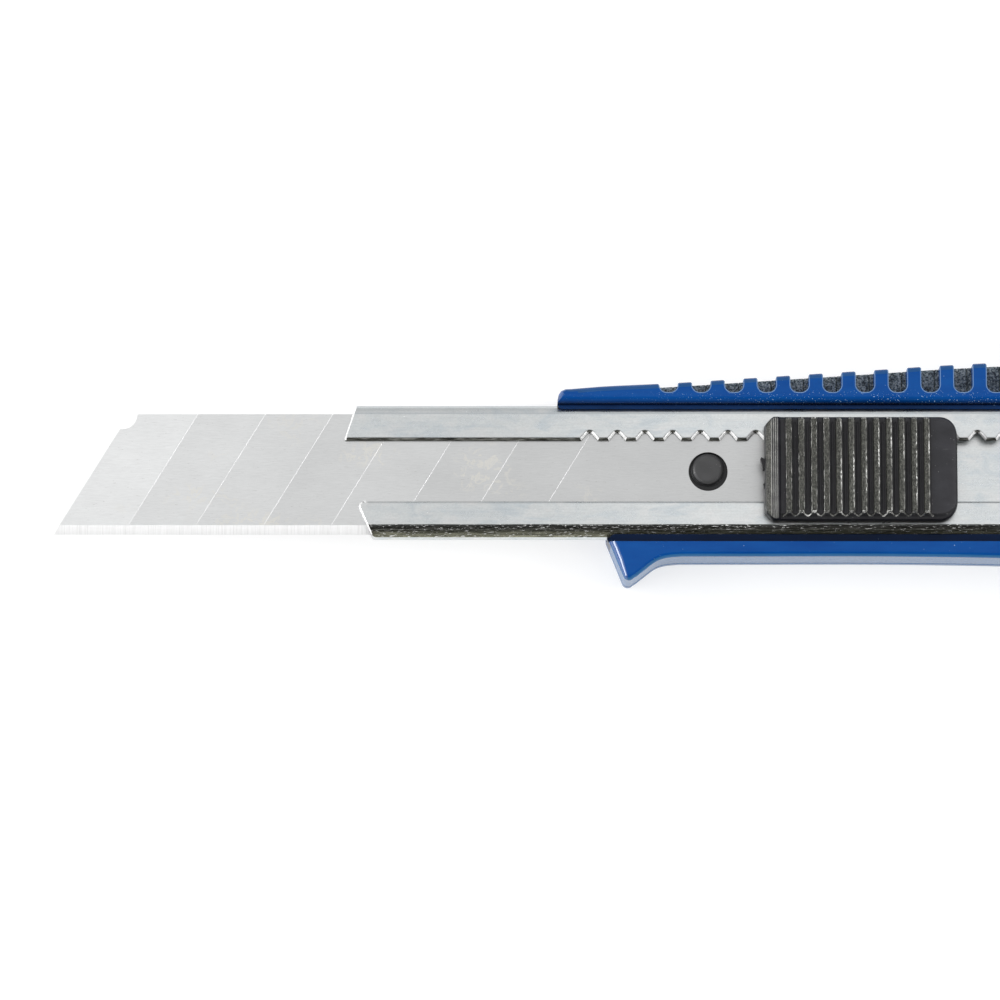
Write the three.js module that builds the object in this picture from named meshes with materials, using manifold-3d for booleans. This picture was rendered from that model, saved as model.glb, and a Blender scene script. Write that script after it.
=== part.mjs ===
// A snap-off utility knife with an 18 mm blade, lying on its back. Millimetres, +Z up.
// X runs from the blade's tip to the end cap, Y from the cutting edge to the spine, Z through the thickness.
// X = 0 is the mouth of the steel sheath and Y = 0 its centreline; the whole knife is centred at the end.

import * as THREE from 'three';
import { mergeVertices } from 'three/addons/utils/BufferGeometryUtils.js';
import Module from 'manifold-3d';

const wasm = await Module();
wasm.setup();

// ---- driving dimensions -------------------------------------------------------------------------------

const KNIFE = { thickness: 10.9, length: 164.1 };

const BLADE = {
  length: 110,
  height: 18,
  thickness: 0.5,
  tipX: -42.9,
  edgeY: -9.3,
  bottom: 7.05,
  bevel: 1.4,
  segment: 10,
  segments: 8,
  slope: THREE.MathUtils.degToRad(58.5),
  score: { width: 0.2, depth: 0.12, shift: 0.2 },
  cornerBite: { radius: 2.07, ahead: 0.9, below: 0.15 },
  hole: { x: 53.9, y: 0.1, diameter: 5.78 },
};

const SHEATH = {
  length: 141.1,
  height: 20,
  sheet: 0.6,
  bottom: 4.95,
  depth: 3.4,
  bend: 1.65,
  innerBend: 0.6,
  upperLip: 4.66,
  lowerLip: -4.42,
};

const TEETH = { firstX: 36.36, pitch: 4.1, count: 22, depth: 1.14, base: 2.5, crown: 0.9 };

const HANDLE = {
  frontX: 31.6,
  rearX: 143.1,
  floor: 2.0,
  edge: 0.8,
  ledgeTop: 9.1,
  upperRailY: 9.95,
  lowerRailY: -10.71,
  upperLedgeY: 9.3,
  lowerLedgeY: -9.38,
  bellyY: -12.95,
};

const SPINE = {
  notchX: 48.0,
  pitch: 4.84,
  count: 15,
  notchWidth: 2.74,
  notchCorner: 1.15,
  floorY: 11.48,
  slotBottom: 3.0,
  slotTop: 8.2,
  lowerBy: 0.45,
  groove: { width: 0.4, depth: 0.5, offset: 0.75 },
};

const KNOB = {
  frontX: 62.1,
  rearX: 90.5,
  width: 15.4,
  top: 12.9,
  bottom: 9.3,
  wall: 1.5,
  ribs: { firstX: 65.62, pitch: 1.847, count: 12, width: 0.82, height: 0.8 },
};

const CARRIER = { frontX: 48.9, rearX: 88, peg: 5.0, pegTop: 7.95, stepX: 67.6, width: 16.8 };

const TOOTH_X = TEETH.firstX + 9 * TEETH.pitch;
const CAP = { frontX: 143.3, tongueX: 137.9, prongX: 130.1, slot: { depth: 9, height: 1.0, width: 19 } };
const CORE = { rib: 1.6, width: 5.2, frontX: 44 };
const GAP = 0.1;

const sheathTop = SHEATH.bottom + SHEATH.depth;
const sheathInnerBottom = SHEATH.bottom + SHEATH.sheet;
const lipUnderside = sheathTop - SHEATH.sheet;
const bladeTop = BLADE.bottom + BLADE.thickness;

// ---- materials ----------------------------------------------------------------------------------------

function finish(color, roughness, metalness) {
  return new THREE.MeshStandardMaterial({ color, roughness, metalness });
}

const blueAbs = finish(0x285b99, 0.32, 0.0);
const spineRubber = finish(0x2c3338, 0.85, 0.0);
const zincSteel = finish(0xc9ced0, 0.42, 0.9);
const bladeSteel = finish(0xdddedd, 0.28, 1.0);
const blackNylon = finish(0x2e2f32, 0.55, 0.0);
const carrierNylon = finish(0x1d1e20, 0.6, 0.0);
const springSteel = finish(0x9fa3a6, 0.35, 1.0);
const capNylon = finish(0x27282b, 0.55, 0.0);

// ---- solids -------------------------------------------------------------------------------------------

function solid(geometry) {
  const bare = geometry.index ? geometry.toNonIndexed() : geometry.clone();
  bare.deleteAttribute('normal');
  bare.deleteAttribute('uv');
  const welded = mergeVertices(bare, 1e-4);
  return new wasm.Manifold(new wasm.Mesh({
    numProp: 3,
    vertProperties: new Float32Array(welded.attributes.position.array),
    triVerts: new Uint32Array(welded.index.array),
  }));
}

function part(name, body, material) {
  const mesh = body.getMesh();
  const geometry = new THREE.BufferGeometry();
  geometry.setAttribute('position', new THREE.BufferAttribute(mesh.vertProperties, 3));
  geometry.setIndex(new THREE.BufferAttribute(mesh.triVerts, 1));
  geometry.computeVertexNormals();
  const result = new THREE.Mesh(geometry, material);
  result.name = name;
  return result;
}

function block(x, y, z) {
  const geometry = new THREE.BoxGeometry(x[1] - x[0], y[1] - y[0], z[1] - z[0]);
  geometry.translate((x[0] + x[1]) / 2, (y[0] + y[1]) / 2, (z[0] + z[1]) / 2);
  return solid(geometry);
}

function disc(x, y, z, radius, sides = 40) {
  const geometry = new THREE.CylinderGeometry(radius, radius, z[1] - z[0], sides);
  geometry.rotateX(Math.PI / 2);
  geometry.translate(x, y, (z[0] + z[1]) / 2);
  return solid(geometry);
}

// A plan outline in X and Y, standing from z[0] to z[1], with its rims rounded by edge.
function plate(shape, z, edge = 0, curveSegments = 12) {
  const geometry = new THREE.ExtrudeGeometry(shape, {
    depth: z[1] - z[0] - 2 * edge,
    curveSegments,
    bevelEnabled: edge > 0,
    bevelThickness: edge,
    bevelSize: edge,
    bevelOffset: -edge,
    bevelSegments: 3,
  });
  geometry.translate(0, 0, z[0] + edge);
  return solid(geometry);
}

// A section drawn in Y and Z, running along X.
function runAlongX(shape, x, curveSegments = 4) {
  const depth = x[1] - x[0];
  const geometry = new THREE.ExtrudeGeometry(shape, { depth, curveSegments, bevelEnabled: false });
  geometry.applyMatrix4(new THREE.Matrix4().set(0, 0, 1, x[0], 1, 0, 0, 0, 0, 1, 0, 0, 0, 0, 0, 1));
  return solid(geometry);
}

// A side profile drawn in X and Z, running across Y.
function runAcrossY(shape, y, curveSegments = 6) {
  const depth = y[1] - y[0];
  const geometry = new THREE.ExtrudeGeometry(shape, { depth, curveSegments, bevelEnabled: false });
  geometry.applyMatrix4(new THREE.Matrix4().set(1, 0, 0, 0, 0, 0, -1, y[1], 0, 1, 0, 0, 0, 0, 0, 1));
  return solid(geometry);
}

function outline(points) {
  return new THREE.Shape(points.map(([a, b]) => new THREE.Vector2(a, b)));
}

function roundedRectangle(low, high, radius) {
  const shape = new THREE.Shape();
  shape.moveTo(low[0] + radius, low[1]);
  shape.lineTo(high[0] - radius, low[1]);
  shape.absarc(high[0] - radius, low[1] + radius, radius, -Math.PI / 2, 0);
  shape.lineTo(high[0], high[1] - radius);
  shape.absarc(high[0] - radius, high[1] - radius, radius, 0, Math.PI / 2);
  shape.lineTo(low[0] + radius, high[1]);
  shape.absarc(low[0] + radius, high[1] - radius, radius, Math.PI / 2, Math.PI);
  shape.lineTo(low[0], low[1] + radius);
  shape.absarc(low[0] + radius, low[1] + radius, radius, Math.PI, 1.5 * Math.PI);
  return shape;
}

// ---- blade: 8 segments with score lines, a ground edge and the hole for the carrier's peg ---------------

function makeBlade() {
  const run = 1 / Math.tan(BLADE.slope);
  const topY = BLADE.edgeY + BLADE.height;
  const tailX = BLADE.tipX + BLADE.length;
  const cornerX = BLADE.tipX + BLADE.height * run;
  const thickness = [BLADE.bottom, bladeTop];
  let body = plate(outline([
    [BLADE.tipX, BLADE.edgeY],
    [tailX, BLADE.edgeY],
    [tailX, topY],
    [cornerX, topY],
  ]), thickness);
  const middle = (BLADE.bottom + bladeTop) / 2;
  const ground = outline([
    [BLADE.edgeY, middle - 0.02],
    [BLADE.edgeY + BLADE.bevel, BLADE.bottom],
    [topY + 1, BLADE.bottom],
    [topY + 1, bladeTop],
    [BLADE.edgeY + BLADE.bevel, bladeTop],
    [BLADE.edgeY, middle + 0.02],
  ]);
  body = body.intersect(runAlongX(ground, [BLADE.tipX - 1, tailX + 1]));
  const { cornerBite, hole } = BLADE;
  const through = [BLADE.bottom - 1, bladeTop + 1];
  const biteX = cornerX - cornerBite.ahead;
  body = body.subtract(disc(biteX, topY - cornerBite.below, through, cornerBite.radius, 32));
  body = body.subtract(disc(hole.x, hole.y, through, hole.diameter / 2, 48));
  for (let k = 1; k < BLADE.segments; k += 1) {
    body = body.subtract(scoreLine(BLADE.tipX + BLADE.score.shift + k * BLADE.segment, run, topY));
  }
  return part('blade', body, bladeSteel);
}

function scoreLine(footX, run, topY) {
  const half = BLADE.score.width / 2 / Math.sin(BLADE.slope);
  const low = BLADE.edgeY + BLADE.bevel + 0.2;
  const at = (y) => footX + (y - BLADE.edgeY) * run;
  return plate(outline([
    [at(low) - half, low],
    [at(low) + half, low],
    [at(topY + 0.5) + half, topY + 0.5],
    [at(topY + 0.5) - half, topY + 0.5],
  ]), [bladeTop - BLADE.score.depth, bladeTop + 0.5]);
}

// ---- sheath: a folded steel channel whose upper lip carries the lock's notches --------------------------

function sheathSection() {
  const half = SHEATH.height / 2;
  const outer = SHEATH.bend;
  const inner = SHEATH.innerBend;
  const low = SHEATH.bottom;
  const wall = half - SHEATH.sheet;
  const shape = new THREE.Shape();
  shape.moveTo(SHEATH.lowerLip, sheathTop);
  shape.lineTo(-half + outer, sheathTop);
  shape.absarc(-half + outer, sheathTop - outer, outer, Math.PI / 2, Math.PI);
  shape.absarc(-half + outer, low + outer, outer, Math.PI, 1.5 * Math.PI);
  shape.absarc(half - outer, low + outer, outer, -Math.PI / 2, 0);
  shape.absarc(half - outer, sheathTop - outer, outer, 0, Math.PI / 2);
  shape.lineTo(SHEATH.upperLip, sheathTop);
  shape.lineTo(SHEATH.upperLip, lipUnderside);
  shape.absarc(wall - inner, lipUnderside - inner, inner, Math.PI / 2, 0, true);
  shape.absarc(wall - inner, sheathInnerBottom + inner, inner, 0, -Math.PI / 2, true);
  shape.absarc(-wall + inner, sheathInnerBottom + inner, inner, -Math.PI / 2, -Math.PI, true);
  shape.absarc(-wall + inner, lipUnderside - inner, inner, Math.PI, Math.PI / 2, true);
  shape.lineTo(SHEATH.lowerLip, lipUnderside);
  return shape;
}

// The mouth slants back towards both folds, and steps back again at the lower lip.
function mouthCut() {
  return plate(outline([
    [-1, 11],
    [2.4, 11],
    [0, SHEATH.upperLip],
    [2.2, SHEATH.lowerLip],
    [2.2, -5.3],
    [3.9, -9.0],
    [4.6, -11],
    [-1, -11],
  ]), [SHEATH.bottom - 1, sheathTop + 1]);
}

function lockNotch(x) {
  const y = SHEATH.upperLip;
  const peak = y + TEETH.depth;
  const crown = TEETH.crown / 2;
  const half = TEETH.base / 2;
  const shape = new THREE.Shape();
  shape.moveTo(x - half - 0.5, y - 0.5);
  shape.lineTo(x + half + 0.5, y - 0.5);
  shape.lineTo(x + crown, peak - 0.15);
  shape.quadraticCurveTo(x, peak + 0.1, x - crown, peak - 0.15);
  return plate(shape, [lipUnderside - 0.5, sheathTop + 0.5], 0, 4);
}

function makeSheath() {
  let body = runAlongX(sheathSection(), [0, SHEATH.length]).subtract(mouthCut());
  for (let k = 0; k < TEETH.count; k += 1) {
    body = body.subtract(lockNotch(TEETH.firstX + k * TEETH.pitch));
  }
  return part('sheath', body, zincSteel);
}

// ---- handle: an open-topped blue moulding with a finger guard and a notched spine -----------------------

function spineY(x) {
  const slope = 0.0659;
  return 13.08 + (x - 50.3) * slope;
}

// The upper edge from the front rail to the rear, shared by the handle and its rubber insert.
function followSpine(shape, drop) {
  shape.splineThru([
    new THREE.Vector2(39.5, 12.55 - drop),
    new THREE.Vector2(50.3, spineY(50.3) - drop),
    new THREE.Vector2(70, spineY(70) - drop),
    new THREE.Vector2(90, spineY(90) - drop),
    new THREE.Vector2(106, 16.45 - drop),
    new THREE.Vector2(122, 16.35 - drop),
    new THREE.Vector2(HANDLE.rearX, 15.0 - drop),
  ]);
}

function handleOutline() {
  const shape = new THREE.Shape();
  shape.moveTo(HANDLE.frontX, 10.3);
  shape.quadraticCurveTo(HANDLE.frontX + 0.1, 12.05, HANDLE.frontX + 2.0, 12.1);
  followSpine(shape, 0);
  shape.lineTo(HANDLE.rearX, -13.6);
  shape.splineThru([
    new THREE.Vector2(120, -13.95),
    new THREE.Vector2(100, -13.25),
    new THREE.Vector2(80, HANDLE.bellyY),
  ]);
  shape.lineTo(49.7, HANDLE.bellyY);
  shape.bezierCurveTo(46.6, -13.05, 45.4, -14.2, 43.2, -15.95);
  shape.quadraticCurveTo(42.1, -16.95, 41.25, -15.93);
  shape.lineTo(38.86, -10.0);
  shape.lineTo(HANDLE.frontX + 0.1, 8.6);
  return shape;
}

function sheathBay() {
  const behind = [HANDLE.frontX - 5, HANDLE.rearX + 1];
  const half = SHEATH.height / 2 + GAP;
  let bay = block(behind, [-half, half], [SHEATH.bottom - GAP, sheathTop + GAP]);
  const betweenLedges = [HANDLE.lowerLedgeY, HANDLE.upperLedgeY];
  const betweenRails = [HANDLE.lowerRailY, HANDLE.upperRailY];
  bay = bay.add(block(behind, betweenLedges, [sheathTop, HANDLE.ledgeTop + 0.1]));
  bay = bay.add(block(behind, betweenRails, [HANDLE.ledgeTop, KNIFE.thickness + 1]));
  for (const y of [-CORE.width - CORE.rib, 0, CORE.width + CORE.rib]) {
    bay = bay.add(block([CORE.frontX, HANDLE.rearX + 1], [y - CORE.width / 2, y + CORE.width / 2],
      [HANDLE.floor, SHEATH.bottom]));
  }
  return bay;
}

function spineNotch(x, z) {
  const half = SPINE.notchWidth / 2;
  return plate(roundedRectangle([x - half, SPINE.floorY], [x + half, 24], SPINE.notchCorner), z, 0, 5);
}

const spineSlot = { x: [46.2, 118.2], floorY: 11.3 };

function makeHandle() {
  let body = plate(handleOutline(), [0, KNIFE.thickness], HANDLE.edge, 10).subtract(sheathBay());
  body = body.subtract(block(spineSlot.x, [spineSlot.floorY, 20], [SPINE.slotBottom, SPINE.slotTop]));
  for (let k = 0; k < SPINE.count; k += 1) {
    body = body.subtract(spineNotch(SPINE.notchX + k * SPINE.pitch, [-1, KNIFE.thickness + 1]));
  }
  return part('handle_body', body, blueAbs);
}

// ---- spine grip: the rubber strip seen through the notches ----------------------------------------------

function makeSpineGrip() {
  const shape = new THREE.Shape();
  shape.moveTo(30, spineSlot.floorY + GAP);
  shape.lineTo(33, 12);
  followSpine(shape, SPINE.lowerBy);
  shape.lineTo(HANDLE.rearX, spineSlot.floorY + GAP);
  const inside = block([spineSlot.x[0] + GAP, spineSlot.x[1] - GAP], [spineSlot.floorY + GAP, 20],
    [SPINE.slotBottom + GAP, SPINE.slotTop - GAP]);
  let body = plate(shape, [SPINE.slotBottom, SPINE.slotTop], 0, 10).intersect(inside);
  const { width, depth, offset } = SPINE.groove;
  for (let k = 0; k < SPINE.count; k += 1) {
    const x = SPINE.notchX + k * SPINE.pitch + offset;
    const bottom = spineY(x) - SPINE.lowerBy - depth;
    body = body.subtract(block([x - width / 2, x + width / 2], [Math.min(bottom, 15.6), 20],
      [SPINE.slotBottom - 1, SPINE.slotTop + 1]));
  }
  return part('spine_grip', body, spineRubber);
}

// ---- blade carrier: slides in the sheath, holds the blade by its peg and the knob by its saddle -------

function makeCarrier() {
  const half = CARRIER.width / 2;
  const floor = sheathInnerBottom + GAP;
  const under = BLADE.bottom - 0.05;
  const plan = roundedRectangle([CARRIER.frontX, -half], [CARRIER.rearX, half], 2.4);
  let body = plate(plan, [floor, under]);
  const raised = [CARRIER.stepX, CARRIER.rearX - 1];
  body = body.add(block(raised, [-half, half], [under - 0.1, lipUnderside - GAP]));
  body = body.add(disc(BLADE.hole.x, BLADE.hole.y, [under - 0.1, CARRIER.pegTop], CARRIER.peg / 2));
  const posts = [[CARRIER.stepX, CARRIER.stepX + 1.4], [CARRIER.rearX - 2.4, CARRIER.rearX - 1]];
  for (const x of posts) {
    body = body.add(block(x, [SHEATH.lowerLip + 0.3, SHEATH.upperLip - 0.3], [under, sheathTop + 0.6]));
  }
  body = body.add(block(raised, [-5.8, 5.8], [sheathTop + GAP, sheathTop + 1.0]));
  body = body.subtract(block([69.2, 85.4], [-3.6, 3.6], [floor + 0.3, 12]));
  body = body.subtract(block([TOOTH_X - 1.4, TOOTH_X + 1.4], [-3.6, 6.6], [floor + 0.3, 12]));
  return part('blade_carrier', body, carrierNylon);
}

// ---- lock spring: a bowed leaf that lifts the knob, with the tooth that drops into a notch ---------------

function makeLockSpring() {
  const leaf = 0.3;
  const low = sheathInnerBottom + GAP + 0.35;
  const high = 7.2;
  const shape = outline([
    [69.6, low],
    [70.4, low],
    [71.9, high - leaf],
    [74.6, high - leaf],
    [83.9, low],
    [85.0, low],
    [85.0, low + leaf],
    [84.1, low + leaf],
    [74.7, high],
    [71.8, high],
    [70.2, low + leaf],
    [69.6, low + leaf],
  ]);
  let body = runAcrossY(shape, [-3.2, 3.2]);
  body = body.add(block([TOOTH_X - 0.85, TOOTH_X + 0.85], [2.8, 5.45], [high - leaf, high]));
  body = body.add(plate(outline([
    [TOOTH_X - 0.85, 4.2],
    [TOOTH_X + 0.85, 4.2],
    [TOOTH_X + 0.75, 4.8],
    [TOOTH_X + 0.25, 5.45],
    [TOOTH_X - 0.25, 5.45],
    [TOOTH_X - 0.75, 4.8],
  ]), [high - leaf, sheathTop - 0.1]));
  return part('lock_spring', body, springSteel);
}

// ---- thumb slider: a ribbed hollow knob over the carrier's saddle ----------------------------------------

function knobProfile() {
  const { firstX, pitch, count, width, height } = KNOB.ribs;
  const valley = KNOB.top - height;
  const points = [
    [KNOB.rearX, KNOB.bottom],
    [KNOB.rearX, valley - 0.4],
    [KNOB.rearX - 0.8, valley + 0.3],
  ];
  for (let k = count - 1; k >= 0; k -= 1) {
    const x = firstX + k * pitch;
    points.push([x + width / 2 + 0.12, valley], [x + width / 2, KNOB.top], [x - width / 2, KNOB.top],
      [x - width / 2 - 0.12, valley]);
  }
  points.push([KNOB.frontX + 2.0, KNOB.top - 0.2], [KNOB.frontX + 0.9, KNOB.top - 0.3],
    [KNOB.frontX, valley - 0.6], [KNOB.frontX, KNOB.bottom]);
  return outline(points);
}

function makeKnob() {
  const half = KNOB.width / 2;
  const plan = outline([
    [KNOB.frontX, -half + 3.0],
    [KNOB.frontX + 1.4, -half],
    [KNOB.rearX - 2.6, -half],
    [KNOB.rearX - 0.76, -half + 0.76],
    [KNOB.rearX, -half + 2.6],
    [KNOB.rearX, half - 2.6],
    [KNOB.rearX - 0.76, half - 0.76],
    [KNOB.rearX - 2.6, half],
    [KNOB.frontX + 1.4, half],
    [KNOB.frontX, half - 1.4],
  ]);
  const sides = outline([
    [-half, KNOB.bottom],
    [half, KNOB.bottom],
    [half, KNOB.top - 1.6],
    [half - 1.1, KNOB.top],
    [-half + 1.1, KNOB.top],
    [-half, KNOB.top - 1.6],
  ]);
  let body = plate(plan, [KNOB.bottom, KNOB.top]);
  body = body.intersect(runAcrossY(knobProfile(), [-half - 1, half + 1]));
  body = body.intersect(runAlongX(sides, [KNOB.frontX - 1, KNOB.rearX + 1]));
  const hollowTop = KNOB.top - KNOB.ribs.height - 1.0;
  body = body.subtract(block([KNOB.frontX + KNOB.wall + 1, KNOB.rearX - KNOB.wall - 0.4],
    [-half + KNOB.wall, half - KNOB.wall], [KNOB.bottom - 1, hollowTop]));
  body = body.add(block([70.4, 84.6], [-3.1, 3.1], [7.3, hollowTop + 0.3]));
  return part('thumb_slider', body, blackNylon);
}

// ---- end cap: closes the rear, with a slot that grips the blade for snapping -----------------------------

function makeEndCap() {
  const end = KNIFE.length;
  const shape = new THREE.Shape();
  shape.moveTo(CAP.frontX, -13.6);
  shape.lineTo(CAP.frontX, 15.0);
  shape.quadraticCurveTo(end - 8, 14.2, end - 5, 12.6);
  shape.quadraticCurveTo(end, 10.4, end, 5.5);
  shape.lineTo(end, -7.5);
  shape.quadraticCurveTo(end, -13, end - 6, -13.2);
  let body = plate(shape, [0, KNIFE.thickness], HANDLE.edge, 8);
  const { depth, height, width } = CAP.slot;
  const level = BLADE.bottom;
  const slot = [level - height / 2, level + height / 2];
  const tongue = [sheathInnerBottom + GAP, lipUnderside - GAP];
  body = body.subtract(block([end - depth, end + 1], [-width / 2, width / 2], slot));
  body = body.add(block([CAP.tongueX, CAP.frontX + 2], [-8.4, 8.4], tongue));
  for (const y of [-CORE.width - CORE.rib, CORE.width + CORE.rib]) {
    body = body.add(block([CAP.prongX, CAP.frontX + 2], [y - CORE.width / 2 + 0.2, y + CORE.width / 2 - 0.2],
      [HANDLE.floor + 0.15, SHEATH.bottom - 0.3]));
  }
  return part('end_cap', body, capNylon);
}

// ---- the knife, centred over the surface it lies on ------------------------------------------------------

const knife = new THREE.Group();
knife.add(makeHandle(), makeSpineGrip(), makeSheath(), makeBlade());
knife.add(makeCarrier(), makeLockSpring(), makeKnob(), makeEndCap());

const extent = new THREE.Box3().setFromObject(knife);
const centre = extent.getCenter(new THREE.Vector3());
knife.position.set(-centre.x, -centre.y, -extent.min.z);

export default knife;
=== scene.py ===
import math

import bmesh
import bpy
from mathutils import Matrix, Vector


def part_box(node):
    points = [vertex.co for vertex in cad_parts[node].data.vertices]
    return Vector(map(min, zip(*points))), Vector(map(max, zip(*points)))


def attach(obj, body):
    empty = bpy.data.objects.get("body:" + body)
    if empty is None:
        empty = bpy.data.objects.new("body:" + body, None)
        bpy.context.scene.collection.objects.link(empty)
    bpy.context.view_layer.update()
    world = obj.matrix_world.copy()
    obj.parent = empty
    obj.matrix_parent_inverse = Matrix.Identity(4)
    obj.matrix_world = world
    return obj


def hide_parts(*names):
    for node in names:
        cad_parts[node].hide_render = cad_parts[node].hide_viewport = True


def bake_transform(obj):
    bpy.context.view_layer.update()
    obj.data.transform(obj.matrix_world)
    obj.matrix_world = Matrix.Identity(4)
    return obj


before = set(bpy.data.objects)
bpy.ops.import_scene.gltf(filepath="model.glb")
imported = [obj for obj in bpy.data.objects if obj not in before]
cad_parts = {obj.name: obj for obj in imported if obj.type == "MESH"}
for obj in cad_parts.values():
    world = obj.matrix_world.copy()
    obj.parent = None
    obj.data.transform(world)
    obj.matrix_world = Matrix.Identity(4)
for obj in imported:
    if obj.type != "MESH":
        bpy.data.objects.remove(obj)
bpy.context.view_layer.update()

# The pieces are drawn in millimetres, with X = 0 at the sheath's mouth, Y = 0 on its centreline and
# Z = 0 on the surface that the knife lies on.
MM = 0.001
SHEATH_LOW, SHEATH_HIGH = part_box("sheath")
DATUM = Vector((SHEATH_LOW.x, (SHEATH_LOW.y + SHEATH_HIGH.y) / 2, 0.0))


def cad_range(node, axis):
    """The lowest and highest place of a CAD node along an axis, in drawing millimetres."""
    low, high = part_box(node)
    return (low[axis] - DATUM[axis]) / MM, (high[axis] - DATUM[axis]) / MM


SHEATH_Z = cad_range("sheath", 2)
SHEATH_END = cad_range("sheath", 0)[1]
SHEATH_HALF = cad_range("sheath", 1)[1]
# The sheet's thickness, the radii of its bends, its lips' edges and how far its edges are rounded.
SHEET = 0.6
FOLD, INNER_FOLD = 1.65, 0.6
UPPER_FOLD = 1.33
LOWER_FOLD_WIDTH = 2.15
UPPER_LIP, LOWER_LIP = 4.66, -4.42
ROLLED_EDGE, MOUTH_EDGE, BURR = 0.52, 0.34, 0.12
NOTCH = {"first": 36.36, "pitch": 4.1, "count": 22, "depth": 1.14, "base": 2.5, "crown": 0.55}

BLADE_X = cad_range("blade", 0)
BLADE_Y = cad_range("blade", 1)
BLADE_Z = cad_range("blade", 2)
# The blade is scored and cut along parallel slanting lines, and has a bite out of its front corner.
CUT_SLOPE = math.radians(58.5)
CUT_RUN = 1 / math.tan(CUT_SLOPE)
SEGMENT, SEGMENTS = 10.0, 8
SCORE = {"shift": 0.2, "half": 0.042, "depth": 0.04}
BITE = {"radius": 2.07, "ahead": 0.9, "below": 0.15}
GROUND = 1.4
HOLE = {"x": 53.9, "y": 0.1, "radius": 2.89}
PEG = {"x": HOLE["x"] - 0.07, "y": HOLE["y"] + 0.32, "radius": 2.5, "top": 8.1}

HANDLE_Z = cad_range("handle_body", 2)
HANDLE_X = cad_range("handle_body", 0)
# The ledges beside the sheath, the rails outside them, the belly and the parting line's height.
LEDGE_TOP = 8.65
UPPER_RAIL, LOWER_RAIL = 9.95, -10.71
UPPER_LEDGE, LOWER_LEDGE = 9.3, -9.38
BELLY = -12.95
SEAM = 2.6
SPINE = {"first": 48.0, "pitch": 4.84, "count": 15, "width": 2.74, "corner": 1.15, "floor": 11.48,
         "shoulder": 0.4}
GUARD_FRONT = 39.2
GROOVE = {"front": 44.0, "spacing": 6.8, "half": 2.6, "roof": 2.0}
GRIP_X = cad_range("spine_grip", 0)
GRIP_Z = cad_range("spine_grip", 2)

KNOB_X = cad_range("thumb_slider", 0)
KNOB_HALF = cad_range("thumb_slider", 1)[1]
KNOB_TOP = cad_range("thumb_slider", 2)[1]
KNOB_BOTTOM = 9.3
RIB = {"first": 65.62, "pitch": 1.847, "count": 12, "width": 0.82, "height": 0.8, "low_end": 0.98}
SCALLOP = {"front": 0.9, "rear": 3.6, "wave": 0.3, "lift": 0.12, "half": 0.17, "height": 0.36}
KNOB_BEVEL, KNOB_CORNER, KNOB_WALL = 1.4, 2.6, 1.5
KNOB_COLUMNS = 568
FLASH_Z, FLASH_RIM = (9.6, 11.1), 0.08
FINE = {"first": 0.98, "pitch": 0.29, "count": 4, "half": 0.065, "height": 0.07}

# The carrier's saddle, the spring's bay in it and the slot for the spring's arm.
SADDLE = {"front": 67.6, "rear": 87.0, "half": 5.8, "wall": 1.4, "low": -4.2, "high": 4.7, "top": 8.9}
SPRING_BAY = {"front": 69.2, "rear": 85.4, "half": 3.6}
ARM_SLOT = {"front": 71.7, "rear": 74.5, "end": 6.6}
LEAF = {"thickness": 0.3, "crown": 7.2, "foot_x": 84.1, "notch": 9}

CAP_X = (SHEATH_END + 2.2, cad_range("end_cap", 0)[1])
# The cap has a tongue inside the sheath and two prongs in the grooves under it.
CAP_TONGUE, CAP_TONGUE_HALF = 5.4, 8.4
CAP_PRONG_HALF, CAP_PRONG_LOW = 2.4, 2.15
CAP_OVERLAP = 2.0
CAP_RIB = {"first": 3.0, "pitch": 2.0, "width": 0.8, "count": 5, "half": 8.0, "depth": 0.35}

ALONG, ASIDE, UP = (1.0, 0.0, 0.0), (0.0, 1.0, 0.0), (0.0, 0.0, 1.0)


# ---- node materials ----

# Moves every random pattern along the knife, which sets where the stains, scratches and painted glints fall.
PATTERN_SHIFT = (0.00205, 0.0, 0.0)


class Nodes:
    """A node tree, with short ways to add to it."""

    def __init__(self, tree):
        self.tree = tree

    def feed(self, socket, value):
        """Links the socket to another one, or sets it to a number, a vector or a colour."""
        if isinstance(value, bpy.types.NodeSocket):
            self.tree.links.new(value, socket)
        else:
            socket.default_value = (*value, 1.0) if socket.type == "RGBA" else value

    def node(self, kind, inputs=None, **settings):
        """Adds a node. inputs says what each socket is fed with."""
        made = self.tree.nodes.new("ShaderNode" + kind)
        for key, value in settings.items():
            setattr(made, key, value)
        for key, value in (inputs or {}).items():
            self.feed(made.inputs[key], value)
        return made

    def ramp(self, value, stops):
        """Each stop is a place from 0 to 1 with a grey or a colour."""
        made = self.node("ValToRGB", {"Fac": value})
        band = made.color_ramp
        while len(band.elements) < len(stops):
            band.elements.new(0.5)
        for element, (place, colour) in zip(band.elements, stops):
            element.position = place
            element.color = (*(colour if hasattr(colour, "__len__") else [colour] * 3), 1.0)
        return made.outputs["Color"]

    def fade(self, value, start, end, last=1.0, first=0.0):
        """A grey that goes from first to last as a value goes from start to end."""
        return self.ramp(value, [(start, first), (end, last)])

    def mix(self, factor, a, b, blend="MIX"):
        return self.node("Mix", {0: factor, 6: a, 7: b}, data_type="RGBA", blend_type=blend).outputs[2]

    def times(self, a, b):
        return self.mix(1.0, a, b, "MULTIPLY")

    def math(self, operation, *values):
        return self.node("Math", dict(enumerate(values)), operation=operation).outputs[0]

    def span(self, value, start, end, low=0.0, high=1.0, clamp=True):
        """Runs from low to high as a value goes from start to end."""
        limits = {"From Min": start, "From Max": end, "To Min": low, "To Max": high}
        return self.node("MapRange", {"Value": value, **limits}, clamp=clamp).outputs["Result"]


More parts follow.
